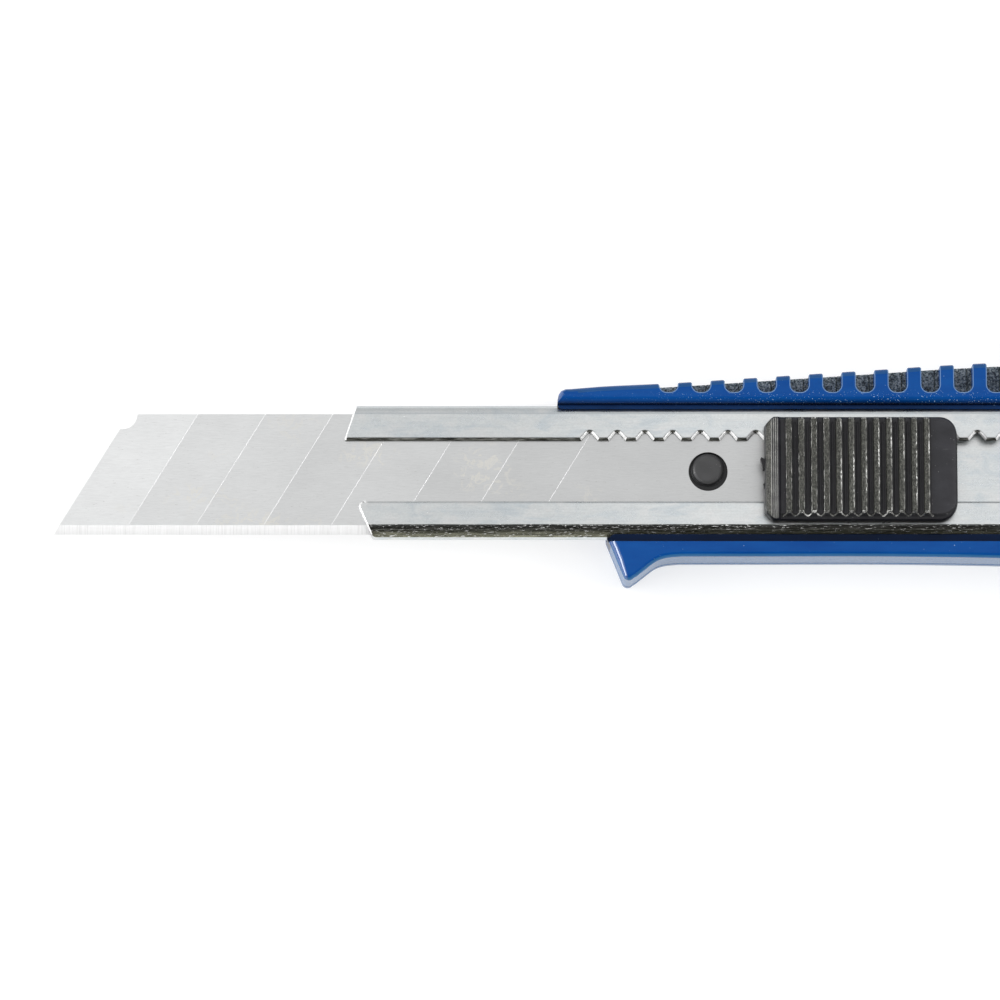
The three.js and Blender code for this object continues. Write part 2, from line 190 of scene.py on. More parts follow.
class Paint(Nodes):
    """Builds one procedural material around a Principled shader.
    """

    def __init__(self, name, colour, roughness, metallic=0.0, level=0.5):
        self.material = bpy.data.materials.new(name)
        self.material.use_nodes = True
        super().__init__(self.material.node_tree)
        self.shader = self.tree.nodes["Principled BSDF"]
        plain = {"Base Color": colour, "Roughness": roughness}
        self.dress({**plain, "Metallic": metallic, "Specular IOR Level": level})
        self.place = self.node("TexCoord").outputs["Object"]
        shifted = self.node("VectorMath", {0: self.place, 1: PATTERN_SHIFT}, operation="ADD")
        self.pattern_place = shifted.outputs["Vector"]

    def dress(self, looks):
        for key, value in looks.items():
            self.feed(self.shader.inputs[key], value)

    def stretched(self, scale, turn=0.0):
        """The object's own coordinates in millimetres, scaled along each axis and turned about Z."""
        inputs = {"Vector": self.pattern_place, "Scale": [value / MM for value in scale]}
        return self.node("Mapping", {**inputs, "Rotation": (0.0, 0.0, turn)}).outputs["Vector"]

    def noise(self, scale, detail=3.0, roughness=0.55, distortion=0.0, turn=0.0):
        """Noise whose features are about 1 / scale millimetres along each axis."""
        inputs = {"Vector": self.stretched(scale, turn), "Scale": 1.0, "Detail": detail}
        inputs |= {"Roughness": roughness, "Distortion": distortion}
        return self.node("TexNoise", inputs).outputs["Fac"]

    def cells(self, scale):
        return self.node("TexVoronoi", {"Vector": self.stretched(scale), "Scale": 1.0}).outputs["Distance"]

    def across(self, direction, start, end, clamp=True):
        """Runs from 0 to 1 between two places along a direction, in drawing millimetres."""
        place = self.node("VectorMath", {0: self.place, 1: direction}, operation="DOT_PRODUCT")
        datum = DATUM.dot(Vector(direction))
        return self.span(place.outputs["Value"], datum + start * MM, datum + end * MM, clamp=clamp)

    def beyond_notch(self):
        """How far a place lies outside the nearest spine notch, in millimetres."""
        corner = SPINE["corner"]
        bottom = SPINE["floor"] + corner
        along = self.across(ALONG, SPINE["first"], SPINE["first"] + 1.0, clamp=False)
        below = self.across(ASIDE, bottom, bottom - 1.0, clamp=False)
        off = self.math("PINGPONG", along, SPINE["pitch"] / 2)
        aside = self.math("SUBTRACT", off, SPINE["width"] / 2 - corner)
        legs = [self.math("MAXIMUM", leg, 0.0) for leg in (aside, below)]
        squares = [self.math("MULTIPLY", leg, leg) for leg in legs]
        return self.math("SUBTRACT", self.math("SQRT", self.math("ADD", *squares)), corner)

    def finish(self, colour, rough, low, high, *bumps):
        """Connects the looks. Each bump is a height and its depth in millimetres."""
        looks = {"Base Color": colour, "Roughness": self.span(rough, 0.0, 1.0, low, high)}
        for height, depth in bumps:
            inputs = {"Strength": 1.0, "Distance": depth * MM, "Height": height}
            if "Normal" in looks:
                inputs["Normal"] = looks["Normal"]
            looks["Normal"] = self.node("Bump", inputs).outputs["Normal"]
        self.dress(looks)
        return self.material


def blade_paint():
    """Carbon steel ground along the blade: short fine marks, a faint residue, and painted shade that makes
    each segment darker the further it lies from the tip.
    """
    paint = Paint("blade_steel", (0.8, 0.8, 0.795), 0.34, 1.0)
    grain = paint.noise((0.9, 14.0, 1.0), roughness=0.6)
    lines = paint.noise((0.15, 6.0, 1.0), detail=2.0)
    clouds = paint.noise((0.10, 0.16, 0.1), detail=2.0)
    flecks = paint.noise((1.4, 13.0, 1.0), detail=1.0)
    film = paint.noise((0.55, 0.55, 0.5), detail=4.0, roughness=0.6, distortion=1.2)
    spread = paint.noise((0.07, 0.12, 0.1), detail=1.0)
    first = BLADE_X[0] + SCORE["shift"] - BLADE_Y[0] * CUT_RUN
    segment = paint.math("FLOOR", paint.across((1.0, -CUT_RUN, 0.0), first, first + SEGMENT, clamp=False))
    base = paint.ramp(clouds, [(0.3, (0.93, 0.94, 0.932)), (0.7, (0.99, 1.0, 0.992))])
    # Painted shade: the segments grow darker from the tip towards the sheath.
    painted_shade_greys = (1.0, 0.90, 0.865, 0.815, 0.81, 0.76, 0.735, 0.735)
    tones = [(k / SEGMENTS, grey) for k, grey in enumerate(painted_shade_greys)]
    toned = paint.times(base, paint.ramp(paint.math("DIVIDE", segment, SEGMENTS), tones))
    lined = paint.mix(0.2, toned, paint.fade(grain, 0.3, 0.7, 1.0, 0.45), "MULTIPLY")
    marked = paint.mix(paint.fade(flecks, 0.235, 0.275, 0.0, 0.6), lined, (0.45, 0.44, 0.42))
    residue = paint.times(paint.ramp(film, [(0.52, 0.0), (0.60, 0.5), (0.68, 0.0)]),
                          paint.fade(spread, 0.55, 0.66))
    colour = paint.mix(residue, marked, (0.88, 0.85, 0.76))
    return paint.finish(colour, grain, 0.30, 0.42, (grain, 0.0025), (lines, 0.002))


def ground_edge_paint():
    """The bevel's face, ground across the edge and painted pale as a painted highlight."""
    paint = Paint("blade_ground_edge_painted_highlight", (0.95, 0.95, 0.94), 0.4, 0.35)
    lines = paint.noise((9.0, 0.15, 0.3), detail=5.0, roughness=0.65)
    band = paint.across(ASIDE, BLADE_Y[0], BLADE_Y[0] + GROUND)
    tones = [(0.28, (0.74, 0.74, 0.73)), (0.5, (0.88, 0.88, 0.875)), (0.7, (0.94, 0.94, 0.94))]
    fresh = paint.ramp(lines, tones)
    colour = paint.mix(paint.fade(band, 0.0, 0.10, 0.0, 0.35), fresh, (0.62, 0.62, 0.61))
    return paint.finish(colour, lines, 0.32, 0.5, (lines, 0.006))


def bright_steel_paint():
    """Freshly broken or pressed steel in the score lines, painted near white as a painted highlight."""
    paint = Paint("blade_score_painted_highlight", (1.0, 1.0, 1.0), 0.5, 0.1)
    grit = paint.noise((9.0, 9.0, 9.0))
    return paint.finish(paint.fade(grit, 0.3, 0.7, 1.0, 0.95), grit, 0.35, 0.6)


def zinc_paint():
    """Zinc plate: smooth and cloudy, with bluish drying marks, faint drawing lines, a few nicks and painted
    shade along the upper bend.
    """
    paint = Paint("zinc_steel", (0.8, 0.83, 0.83), 0.3, 1.0)
    clouds = paint.noise((0.30, 0.55, 0.4), detail=5.0, roughness=0.62)
    patches = paint.noise((0.13, 0.34, 0.3), detail=5.0, roughness=0.7, distortion=0.8)
    drawn = paint.noise((0.22, 4.0, 4.0))
    grain = paint.noise((3.5, 5.0, 4.0), roughness=0.7)
    nicks = paint.noise((1.5, 3.4, 3.0), detail=1.0, turn=0.5)
    tones = [(0.30, (0.75, 0.79, 0.80)), (0.5, (0.83, 0.86, 0.855)), (0.7, (0.89, 0.90, 0.89))]
    base = paint.ramp(clouds, tones)
    cloudy = paint.mix(paint.fade(patches, 0.50, 0.64, 0.6), base, (0.65, 0.72, 0.76))
    lined = paint.mix(0.12, cloudy, paint.fade(drawn, 0.3, 0.7, 1.0, 0.45), "MULTIPLY")
    grained = paint.mix(0.16, lined, paint.fade(grain, 0.35, 0.65, 1.0, 0.4), "MULTIPLY")
    # The zinc is made darker from 22 to 52 mm behind the mouth.
    darker_to_rear = paint.fade(paint.across(ALONG, 22.0, 52.0), 0.0, 1.0, 1.0, 0.86)
    toned = paint.times(grained, darker_to_rear)
    # Painted shade: a darker band where the upper bend begins and a greyer steep outer side.
    bent = SHEATH_HALF - UPPER_FOLD
    upper_bend_shade = paint.ramp(paint.across(ASIDE, bent - 0.15, bent + 0.25),
                        [(0.0, 0.0), (0.35, 0.7), (0.6, 0.5), (1.0, 0.18)])
    bend_shaded = paint.mix(upper_bend_shade, toned, (0.42, 0.45, 0.47))
    outer_bend_shade = paint.fade(paint.across(ASIDE, SHEATH_HALF - 0.6, SHEATH_HALF), 0.0, 1.0, 0.75)
    outer_bend_shaded = paint.mix(outer_bend_shade, bend_shaded, (0.46, 0.49, 0.51))
    colour = paint.mix(paint.fade(nicks, 0.765, 0.785, 0.8), outer_bend_shaded, (0.98, 0.98, 0.98))
    return paint.finish(colour, clouds, 0.22, 0.36, (drawn, 0.0035), (clouds, 0.03), (grain, 0.003))


def fold_paint():
    """The zinc on the lower fold, crazed with bright streaks where the sheet was bent, with painted
    reflections: dark bands, a pale line, an olive foot and bright painted glints.
    """
    paint = Paint("zinc_fold_painted_reflections", (0.3, 0.31, 0.28), 0.2, 0.8)
    streaks = paint.noise((0.32, 5.6, 5.0), detail=5.0, roughness=0.7)
    painted_glints = paint.noise((1.3, 6.5, 5.5), roughness=0.65)
    waves = paint.noise((0.16, 0.4, 0.4))
    start = -SHEATH_HALF + LOWER_FOLD_WIDTH
    height = paint.math("ADD", paint.across(ASIDE, start - 1.6, start), paint.math("MULTIPLY", waves, 0.2))
    # Painted reflection: bands of olive, dark and pale across the fold's height.
    bands = paint.ramp(paint.math("SUBTRACT", height, 0.1), [
        (0.0, (0.42, 0.42, 0.33)), (0.30, (0.34, 0.34, 0.27)), (0.42, (0.15, 0.15, 0.125)),
        (0.50, (0.42, 0.43, 0.40)), (0.60, (0.11, 0.11, 0.10)), (0.88, (0.05, 0.05, 0.052)),
        (0.97, (0.40, 0.42, 0.43))])
    tones = [(0.36, (0.16, 0.162, 0.15)), (0.5, (0.50, 0.505, 0.46)), (0.62, (1.0, 1.0, 0.96))]
    base = paint.times(bands, paint.ramp(streaks, tones))
    # Painted highlight: small bright glints scattered over the fold.
    colour = paint.mix(paint.fade(painted_glints, 0.59, 0.65), base, (1.0, 1.0, 0.98))
    return paint.finish(colour, streaks, 0.10, 0.26, (streaks, 0.03), (painted_glints, 0.03))


def lip_edge_paint():
    """The face where the upper lip was cut, painted dark as painted shade, with dull streaks dragged along
    it.
    """
    paint = Paint("zinc_lip_edge_painted_shade", (0.1, 0.1, 0.09), 0.3, 0.7)
    drag = paint.noise((0.5, 5.0, 4.0), detail=4.0)
    tones = [(0.38, (0.025, 0.025, 0.02)), (0.5, (0.10, 0.10, 0.085)), (0.64, (0.34, 0.34, 0.31))]
    return paint.finish(paint.ramp(drag, tones), drag, 0.2, 0.4, (drag, 0.02))


def cut_paint():
    """The blanked edges of the sheath, bare steel painted bright as a painted highlight."""
    paint = Paint("zinc_cut_edge_painted_highlight", (0.95, 0.95, 0.94), 0.32, 0.3)
    wear = paint.noise((2.5, 2.5, 3.0), detail=4.0, roughness=0.7)
    tones = [(0.28, (0.72, 0.72, 0.69)), (0.42, (0.93, 0.93, 0.92)), (0.7, (1.0, 1.0, 0.99))]
    return paint.finish(paint.ramp(wear, tones), wear, 0.22, 0.4, (wear, 0.006))


def blue_paint(name, deep, bright, worn=0.8, level=0.14, gloss=(0.16, 0.30), coat=0.0):
    """Glossy moulded ABS with a faint orange peel, a little dust and fine ticks along the upper rail, with
    painted shade down the upper rail's inner wall and painted highlights round the spine notches' rims.
    """
    paint = Paint(name, bright, 0.3, 0.0, level)
    paint.dress({"Coat Weight": coat})
    clouds = paint.noise((0.12, 0.5, 0.3))
    peel = paint.noise((1.8, 1.8, 1.8), detail=2.0)
    fine = paint.noise((6.0, 6.0, 6.0), detail=2.0)
    specks = paint.noise((3.9, 4.3, 3.0), detail=1.0)
    ticks = paint.noise((3.8, 5.0, 2.4), detail=2.0, turn=0.9)
    scuffs = paint.noise((0.5, 4.5, 2.0), turn=0.15)
    rail = paint.times(
        paint.ramp(paint.across(ASIDE, UPPER_RAIL - 0.3, UPPER_RAIL + 1.9),
                   [(0.0, 0.0), (0.2, 1.0), (0.7, 1.0), (1.0, 0.0)]),
        paint.fade(paint.across(ALONG, 42.0, 70.0), 0.0, 1.0, 1.0, 0.12))
    base = paint.ramp(clouds, [(0.3, deep), (0.7, bright)])
    # Painted shade: the upper rail's inner wall and its rounded edge turn near black towards the ledge.
    hollow = paint.times(
        paint.ramp(paint.across(UP, LEDGE_TOP, HANDLE_Z[1]),
                   [(0.0, 1.0), (0.5, 0.95), (0.8, 0.5), (1.0, 0.0)]),
        paint.ramp(paint.across(ASIDE, UPPER_RAIL - 1.0, UPPER_RAIL + 1.6),
                   [(0.33, 0.0), (0.36, 1.0), (0.74, 1.0), (0.80, 0.0)]))
    shaded = paint.mix(hollow, base, (0.0008, 0.006, 0.03))
    dusty = paint.mix(paint.fade(specks, 0.79, 0.82, worn), shaded, (0.34, 0.52, 0.70))
    marks = paint.times(paint.fade(ticks, 0.665, 0.69, worn), rail)
    ticked = paint.mix(marks, dusty, (0.40, 0.60, 0.80))
    scuffed = paint.mix(paint.fade(scuffs, 0.76, 0.82, worn * 0.4), ticked, (0.30, 0.45, 0.62))
    # Painted highlight: a pale line round the rims of the spine notches, from 46 to 118 mm along.
    edge = paint.times(
        paint.ramp(paint.beyond_notch(), [(0.015, 0.0), (0.03, 0.75), (0.09, 0.6), (0.17, 0.0)]),
        paint.ramp(paint.across(ALONG, 46.0, 118.0), [(0.0, 0.0), (0.005, 1.0), (0.99, 1.0), (1.0, 0.0)]))
    spine = paint.fade(paint.across(ASIDE, 10.9, 11.2), 0.0, 1.0)
    colour = paint.mix(paint.times(edge, spine), scuffed, (0.24, 0.36, 0.50))
    rough = paint.math("MULTIPLY", paint.math("ADD", peel, scuffs), 0.5)
    return paint.finish(colour, rough, *gloss, (peel, 0.004), (fine, 0.001))


def rubber_paint():
    """Grey-blue rubber with a coarse spark-eroded texture that catches the light in specks."""
    paint = Paint("spine_rubber", (0.15, 0.19, 0.21), 0.7, 0.0, 0.5)
    grit = paint.noise((3.4, 3.4, 3.4), detail=2.0, roughness=0.6, distortion=0.6)
    pits = paint.cells((3.2, 3.2, 3.2))
    clouds = paint.noise((0.6, 0.6, 0.6), detail=2.0)
    speckled = paint.ramp(grit, [(0.36, (0.02, 0.03, 0.038)), (0.45, (0.12, 0.155, 0.175)),
                                 (0.53, (0.22, 0.27, 0.285)), (0.62, (0.52, 0.57, 0.57))])
    colour = paint.mix(0.4, speckled, paint.fade(clouds, 0.3, 0.7, 1.0, 0.45), "MULTIPLY")
    return paint.finish(colour, grit, 0.45, 0.8, (grit, 0.10), (pits, 0.05))


def nylon_paint(name, dark, light, gloss=(0.22, 0.45)):
    """Black moulded nylon, slightly cloudy, with a fine grain and dust in it."""
    paint = Paint(name, light, 0.4, 0.0, 0.4)
    clouds = paint.noise((0.3, 0.5, 0.4), detail=4.0)
    grain = paint.noise((5.0, 5.0, 5.0))
    specks = paint.noise((4.0, 4.2, 4.0), detail=1.0)
    scores = paint.noise((0.5, 6.5, 6.0))
    base = paint.ramp(clouds, [(0.3, dark), (0.7, light)])
    dusty = paint.mix(paint.fade(specks, 0.765, 0.80, 0.7), base, (0.42, 0.42, 0.41))
    colour = paint.mix(paint.fade(scores, 0.70, 0.78, 0.5), dusty, (0.25, 0.25, 0.24))
    return paint.finish(colour, clouds, *gloss, (grain, 0.008), (clouds, 0.02), (scores, 0.01))


def worn_nylon_paint():
    """The rib tops, rubbed to a dull olive grey by the thumb."""
    paint = Paint("slider_worn", (0.1, 0.1, 0.092), 0.5, 0.0, 0.4)
    rubs = paint.noise((5.5, 0.8, 2.0), detail=4.0, roughness=0.65)
    grit = paint.noise((6.0, 4.0, 4.0), detail=2.0)
    tones = [(0.34, (0.012, 0.012, 0.010)), (0.52, (0.046, 0.047, 0.040)), (0.66, (0.11, 0.112, 0.096))]
    base = paint.ramp(grit, tones)
    colour = paint.mix(paint.fade(rubs, 0.58, 0.70, 0.5), base, (0.27, 0.27, 0.245))
    return paint.finish(colour, rubs, 0.35, 0.6, (rubs, 0.03), (grit, 0.02))


def scuffed_nylon_paint():
    """The edges of the ribs, scratched pale in broken lines, and painted highlights on the ribs' lower ends
    and the wavy lip between them.
    """
    paint = Paint("slider_scuffs_and_highlights", (0.2, 0.2, 0.19), 0.45, 0.0, 0.4)
    rubs = paint.noise((3.6, 1.6, 2.0), detail=5.0, roughness=0.75)
    patches = paint.noise((0.32, 0.22, 0.3), detail=2.0)
    tones = [(0.40, (0.035, 0.035, 0.032)), (0.48, (0.16, 0.16, 0.145)), (0.57, (0.85, 0.85, 0.82))]
    pale = paint.ramp(rubs, tones)
    dark = paint.ramp(rubs, [(0.42, (0.035, 0.035, 0.033)), (0.60, (0.22, 0.22, 0.20))])
    colour = paint.mix(paint.fade(patches, 0.42, 0.58), dark, pale)
    return paint.finish(colour, rubs, 0.25, 0.5, (rubs, 0.04))


def spring_paint():
    """Blanked and bent spring steel strip."""
    paint = Paint("spring_steel", (0.45, 0.46, 0.47), 0.32, 1.0)
    rolled = paint.noise((0.4, 6.0, 4.0))
    colour = paint.ramp(rolled, [(0.3, (0.36, 0.37, 0.39)), (0.7, (0.52, 0.52, 0.51))])
    return paint.finish(colour, rolled, 0.25, 0.4, (rolled, 0.006))


PAINT = {
    "blade": blade_paint(),
    "ground": ground_edge_paint(),
    "score": bright_steel_paint(),
    "zinc": zinc_paint(),
    "fold": fold_paint(),
    "cut": cut_paint(),
    "lip_edge_shade": lip_edge_paint(),
    "blue": blue_paint("blue_abs", (0.0012, 0.051, 0.236), (0.0025, 0.066, 0.272)),
    # Painted shade: dark copies of the blue for the ledges beside the sheath, darkest below it.
    "recess_shade": blue_paint("blue_recess_painted_shade", (0.002, 0.021, 0.085), (0.004, 0.034, 0.13), worn=0.4, level=0.12),
    "low_recess_shade": blue_paint("blue_low_recess_painted_shade", (0.0006, 0.006, 0.024), (0.001, 0.010, 0.04), 0.4, 0.1),
    # Painted sheen: a greyer copy of the blue for the rounded top of the spine.
    "crest_sheen": blue_paint("blue_crest_painted_sheen", (0.012, 0.066, 0.20), (0.02, 0.08, 0.23), worn=0.3),
    # Painted reflection: a paler, greener copy of the blue for the belly's side walls, which also reflects
    # more.
    "wall": blue_paint("blue_wall_painted_reflection", (0.01, 0.10, 0.26), (0.014, 0.11, 0.28), worn=0.2, level=0.32),
    "gloss": blue_paint("blue_gloss", (0.01, 0.075, 0.27), (0.014, 0.085, 0.29), 0.2, 1.0, (0.10, 0.16), 1.0),
    "rubber": rubber_paint(),
    "nylon": nylon_paint("slider_nylon", (0.007, 0.007, 0.0085), (0.013, 0.013, 0.015)),
    "worn": worn_nylon_paint(),
    "scuffed": scuffed_nylon_paint(),
    # Painted light and shade: a paler copy of the nylon for the middle of each valley between the ribs, with
    # the plain nylon beside the ribs as shade.
    "valley_painted_light": nylon_paint("slider_valley_painted_light", (0.015, 0.015, 0.018), (0.028, 0.028, 0.033)),
    # Paler nylon on the fine raised lines behind the slider's front edge.
    "pale_lines": nylon_paint("slider_pale_lines", (0.10, 0.10, 0.095), (0.32, 0.32, 0.30)),
    "peg": nylon_paint("peg_nylon", (0.042, 0.042, 0.043), (0.058, 0.058, 0.059), (0.28, 0.42)),
    "carrier": nylon_paint("carrier_nylon", (0.008, 0.008, 0.009), (0.014, 0.014, 0.015), (0.22, 0.4)),
    "cap": nylon_paint("cap_nylon", (0.014, 0.014, 0.016), (0.024, 0.024, 0.026), (0.38, 0.6)),
    "spring": spring_paint(),
}


# ---- mesh tools, in drawing millimetres ----


def places(row):
    """Where each member of an evenly spaced row stands."""
    return [row["first"] + k * row["pitch"] for k in range(row["count"])]


def nearest(x, row):
    """The number of the row's member that is nearest to x, and how far behind its middle x lies."""
    number = min(max(round((x - row["first"]) / row["pitch"]), 0), row["count"] - 1)
    return number, x - row["first"] - number * row["pitch"]


def arc(x, y, radius, start, end, steps, rise=None):
    """Points on an arc, or on an ellipse where rise differs. The angles are in degrees."""
    turns = [math.radians(start + (end - start) * k / steps) for k in range(steps + 1)]
    return [(x + radius * math.cos(a), y + (rise or radius) * math.sin(a)) for a in turns]


def curve(points, steps):
    """A smooth line through the points."""
    line = []
    padded = [points[0], *points, points[-1]]
    for a, b, c, d in zip(padded, padded[1:], padded[2:], padded[3:]):
        for k in range(steps):
            t = k / steps
            line.append(tuple(
                0.5 * (2 * q + (r - p) * t + (2 * p - 5 * q + 4 * r - s) * t * t
                       + (3 * q - p - 3 * r + s) * t ** 3)
                for p, q, r, s in zip(a, b, c, d)
            ))
    return [*line, points[-1]]


def area(outline):
    return 0.5 * sum(a[0] * b[1] - b[0] * a[1] for a, b in zip(outline, [*outline[1:], outline[0]]))


def inset(outline, amounts):
    """The anticlockwise outline with each point moved inwards by its own amount."""
    moved = []
    count = len(outline)
    for k, (point, amount) in enumerate(zip(outline, amounts)):
        before = Vector(point) - Vector(outline[k - 1])
        after = Vector(outline[(k + 1) % count]) - Vector(point)
        before.normalize()
        after.normalize()
        left = Vector((-before.y - after.y, before.x + after.x))
        if left.length < 1e-6:
            left = Vector((-before.y, before.x))
        left.normalize()
        cosine = max(left.dot(Vector((-before.y, before.x))), 0.5)
        moved.append(tuple(Vector(point) + left * amount / cosine))
    return moved


def prism(outline, low, high, rim=0.0, steps=4, seam=None):
    """A solid on a plan outline with rounded rims. rim is one radius or one per point.

    seam is the height of a parting line, which stands out a little all round.
    """
    if area(outline) < 0:
        outline = outline[::-1]
        rim = rim[::-1] if hasattr(rim, "__len__") else rim
    rims = list(rim) if hasattr(rim, "__len__") else [rim] * len(outline)
    sharp = max(rims) == 0
    turns = [math.pi / 2] if sharp else [math.radians(90 * k / steps) for k in range(steps + 1)]

    def layer(turn, level, way):
        """How far in, and how high, each point is at one turn of the rim."""
        heights = [level + way * r * (1 - math.cos(turn)) for r in rims]
        return [r * (1 - math.sin(turn)) for r in rims], heights

    layers = [layer(turn, low, 1) for turn in turns]
    if seam is not None:
        for out, up in ((0, -0.09), (-0.05, 0), (0, 0.09)):
            layers.append(([out] * len(rims), [seam + up] * len(rims)))
    layers += [layer(turn, high, -1) for turn in reversed(turns)]
    rings = []
    for amounts, heights in layers:
        points = outline if sharp else inset(outline, amounts)
        rings.append([(*point, z) for point, z in zip(points, heights)])
    return loft(rings)


def loft(rings):
    """A closed solid through rings of points, with flat ends."""
    bm = bmesh.new()
    rings = [[bm.verts.new(point) for point in ring] for ring in rings]
    for lower, upper in zip(rings, rings[1:]):
        skin(bm, lower, upper)
    bm.faces.new(rings[0][::-1])
    bm.faces.new(rings[-1])
    return bm


def skin(bm, lower, upper):
    count = len(lower)
    for k in range(count):
        n = (k + 1) % count
        bm.faces.new((lower[k], lower[n], upper[n], upper[k]))


def run_x(section, low, high):
    """A section drawn in Y and Z, running along X."""
    if area(section) < 0:
        section = section[::-1]
    return loft([[(x, y, z) for y, z in section] for x in (low, high)])


def slab(x, y, z):
    return prism([(x[0], y[0]), (x[1], y[0]), (x[1], y[1]), (x[0], y[1])], z[0], z[1])


def add(name, data):
    """Puts new data into the scene as an object."""
    made = bpy.data.objects.new(name, data)
    bpy.context.scene.collection.objects.link(made)
    return made


def scratch(bm, name="scratch"):
    """Makes an object of the drawn mesh, with its faces outwards."""
    mesh = bpy.data.meshes.new(name)
    bmesh.ops.recalc_face_normals(bm, faces=bm.faces)
    bm.to_mesh(mesh)
    bm.free()
    return add(name, mesh)


def settle(made):
    """Applies the object's modifiers to its mesh."""
    bpy.context.view_layer.update()
    shape = made.evaluated_get(bpy.context.evaluated_depsgraph_get())
    mesh = bpy.data.meshes.new_from_object(shape)
    made.modifiers.clear()
    made.data = mesh


def carve(made, cutters, operation="DIFFERENCE"):
    """Cuts the object by each cutter, or joins them to it, and leaves no modifier behind."""
    others = [scratch(cutter, "cutter") for cutter in cutters]
    for other in others:
        step = made.modifiers.new("cut", "BOOLEAN")
        step.operation = operation
        step.solver = "EXACT"
        step.object = other
    settle(made)
    for other in others:
        bpy.data.objects.remove(other)


def soften(made, width, angle=50.0, steps=3):
    """Rounds every edge sharper than the angle."""
    step = made.modifiers.new("round", "BEVEL")
    step.width = width
    step.segments = steps
    step.limit_method = "ANGLE"
    step.angle_limit = math.radians(angle)
    step.use_clamp_overlap = True
    step.miter_outer = "MITER_ARC"
    settle(made)


def round_edges(made, width, steps, chosen):
    """Rounds the sharp edges that chosen(edge, middle) picks."""
    bm = bmesh.new()
    bm.from_mesh(made.data)
    picked = []
    for edge in bm.edges:
        if len(edge.link_faces) == 2 and edge.calc_face_angle() > math.radians(50):
            if chosen(edge, (edge.verts[0].co + edge.verts[1].co) / 2):
                picked.append(edge)
    bmesh.ops.bevel(bm, geom=picked, offset=width, offset_type="OFFSET", segments=steps, profile=0.5,
                    affect="EDGES", clamp_overlap=False)
    bm.to_mesh(made.data)
    bm.free()


def paint_faces(made, paints, choose=None):
    """Gives the object its materials. choose(centre, normal) picks one of them for each face."""
    made.data.materials.clear()
    for name in paints:
        made.data.materials.append(PAINT[name])
    for face in made.data.polygons:
        face.material_index = paints.index(choose(face.center, face.normal)) if choose else 0


def piece(made, name, node, body, smooth=35.0):
    """Brings a drawn object to its place in the frame, on its body, in place of its CAD node."""
    made.name = name
    made.data.name = name
    made.data.transform(Matrix.Translation(DATUM) @ Matrix.Scale(MM, 4))
    made.data.shade_smooth()
    made.data.set_sharp_from_angle(angle=math.radians(smooth))
    normals = made.modifiers.new("normals", "WEIGHTED_NORMAL")
    normals.keep_sharp = True
    normals.weight = 70
    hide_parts(node)
    if isinstance(body, str):
        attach(made, body)
    else:
        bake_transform(made)
    return made


# ---- blade ----


def make_blade():
    low, high = BLADE_Y
    corner = BLADE_X[0] + (high - low) * CUT_RUN
    through = (BLADE_Z[0] - 1, BLADE_Z[1] + 1)
    outline = [(BLADE_X[0], low), (BLADE_X[1], low), (BLADE_X[1], high), (corner, high)]
    made = scratch(prism(outline, *BLADE_Z))
    middle = (BLADE_Z[0] + BLADE_Z[1]) / 2
    edge = middle - 0.012
    under = [(low - 1, BLADE_Z[0] - 1), (low - 1, edge), (low, edge), (low + GROUND, BLADE_Z[0]),
             (low + GROUND, BLADE_Z[0] - 1)]
    over = [(y, 2 * middle - z) for y, z in under]
    cutters = [run_x(wedge, BLADE_X[0] - 1, BLADE_X[1] + 1) for wedge in (under, over)]
    bite = arc(corner - BITE["ahead"], high - BITE["below"], BITE["radius"], 0, 352, 44)
    cutters.append(prism(bite, *through))
    cutters.append(prism(arc(HOLE["x"], HOLE["y"], HOLE["radius"], 0, 354, 59), *through))
    cutters += [score_cutter(BLADE_X[0] + SCORE["shift"] + k * SEGMENT) for k in range(1, SEGMENTS)]
    carve(made, cutters)
    soften(made, 0.035, angle=40.0, steps=2)

    def choose(centre, normal):
        if centre.y < low + GROUND - 0.01:
            return "ground"
        in_score = BLADE_Z[1] - 0.2 < centre.z < BLADE_Z[1] - 0.015 and 0.2 < normal.z < 0.95
        return "score" if in_score else "blade"

    paint_faces(made, ["blade", "ground", "score"], choose)
    return piece(made, "snap_blade", "blade", "carriage", smooth=25.0)


def score_cutter(foot):
    """A V-shaped groove along one score line, from the ground edge to the blade's back."""
    depth = SCORE["depth"]
    above = 0.15
    low = BLADE_Y[0] + GROUND + 0.1
    across = SCORE["half"] * (depth + above) / depth / math.sin(CUT_SLOPE)
    top, bottom = BLADE_Z[1] + above, BLADE_Z[1] - depth
    rings = []
    for y in (low, BLADE_Y[1] + 0.4):
        x = foot + (y - BLADE_Y[0]) * CUT_RUN
        rings.append([(x - across, y, top), (x, y, bottom), (x + across, y, top)])
    return loft(rings)


# ---- sheath ----


def sheath_section():
    half, low, high = SHEATH_HALF, *SHEATH_Z
    outer, inner, wide, tight = FOLD, INNER_FOLD, LOWER_FOLD_WIDTH, UPPER_FOLD
    wall = half - SHEET
    steps = 12
    return [
        (LOWER_LIP, high),
        *arc(-half + wide, high - outer, wide, 90, 180, steps, rise=outer),
        *arc(-half + outer, low + outer, outer, 180, 270, steps),
        *arc(half - outer, low + outer, outer, 270, 360, steps),
        *arc(half - tight, high - tight, tight, 0, 90, steps),
        (UPPER_LIP, high),
        (UPPER_LIP, high - SHEET),
        *arc(wall - inner, high - SHEET - inner, inner, 90, 0, steps),
        *arc(wall - inner, low + SHEET + inner, inner, 0, -90, steps),
        *arc(-wall + inner, low + SHEET + inner, inner, -90, -180, steps),
        *arc(-wall + inner, high - SHEET - inner, inner, 180, 90, steps),
        (LOWER_LIP, high - SHEET),
    ]


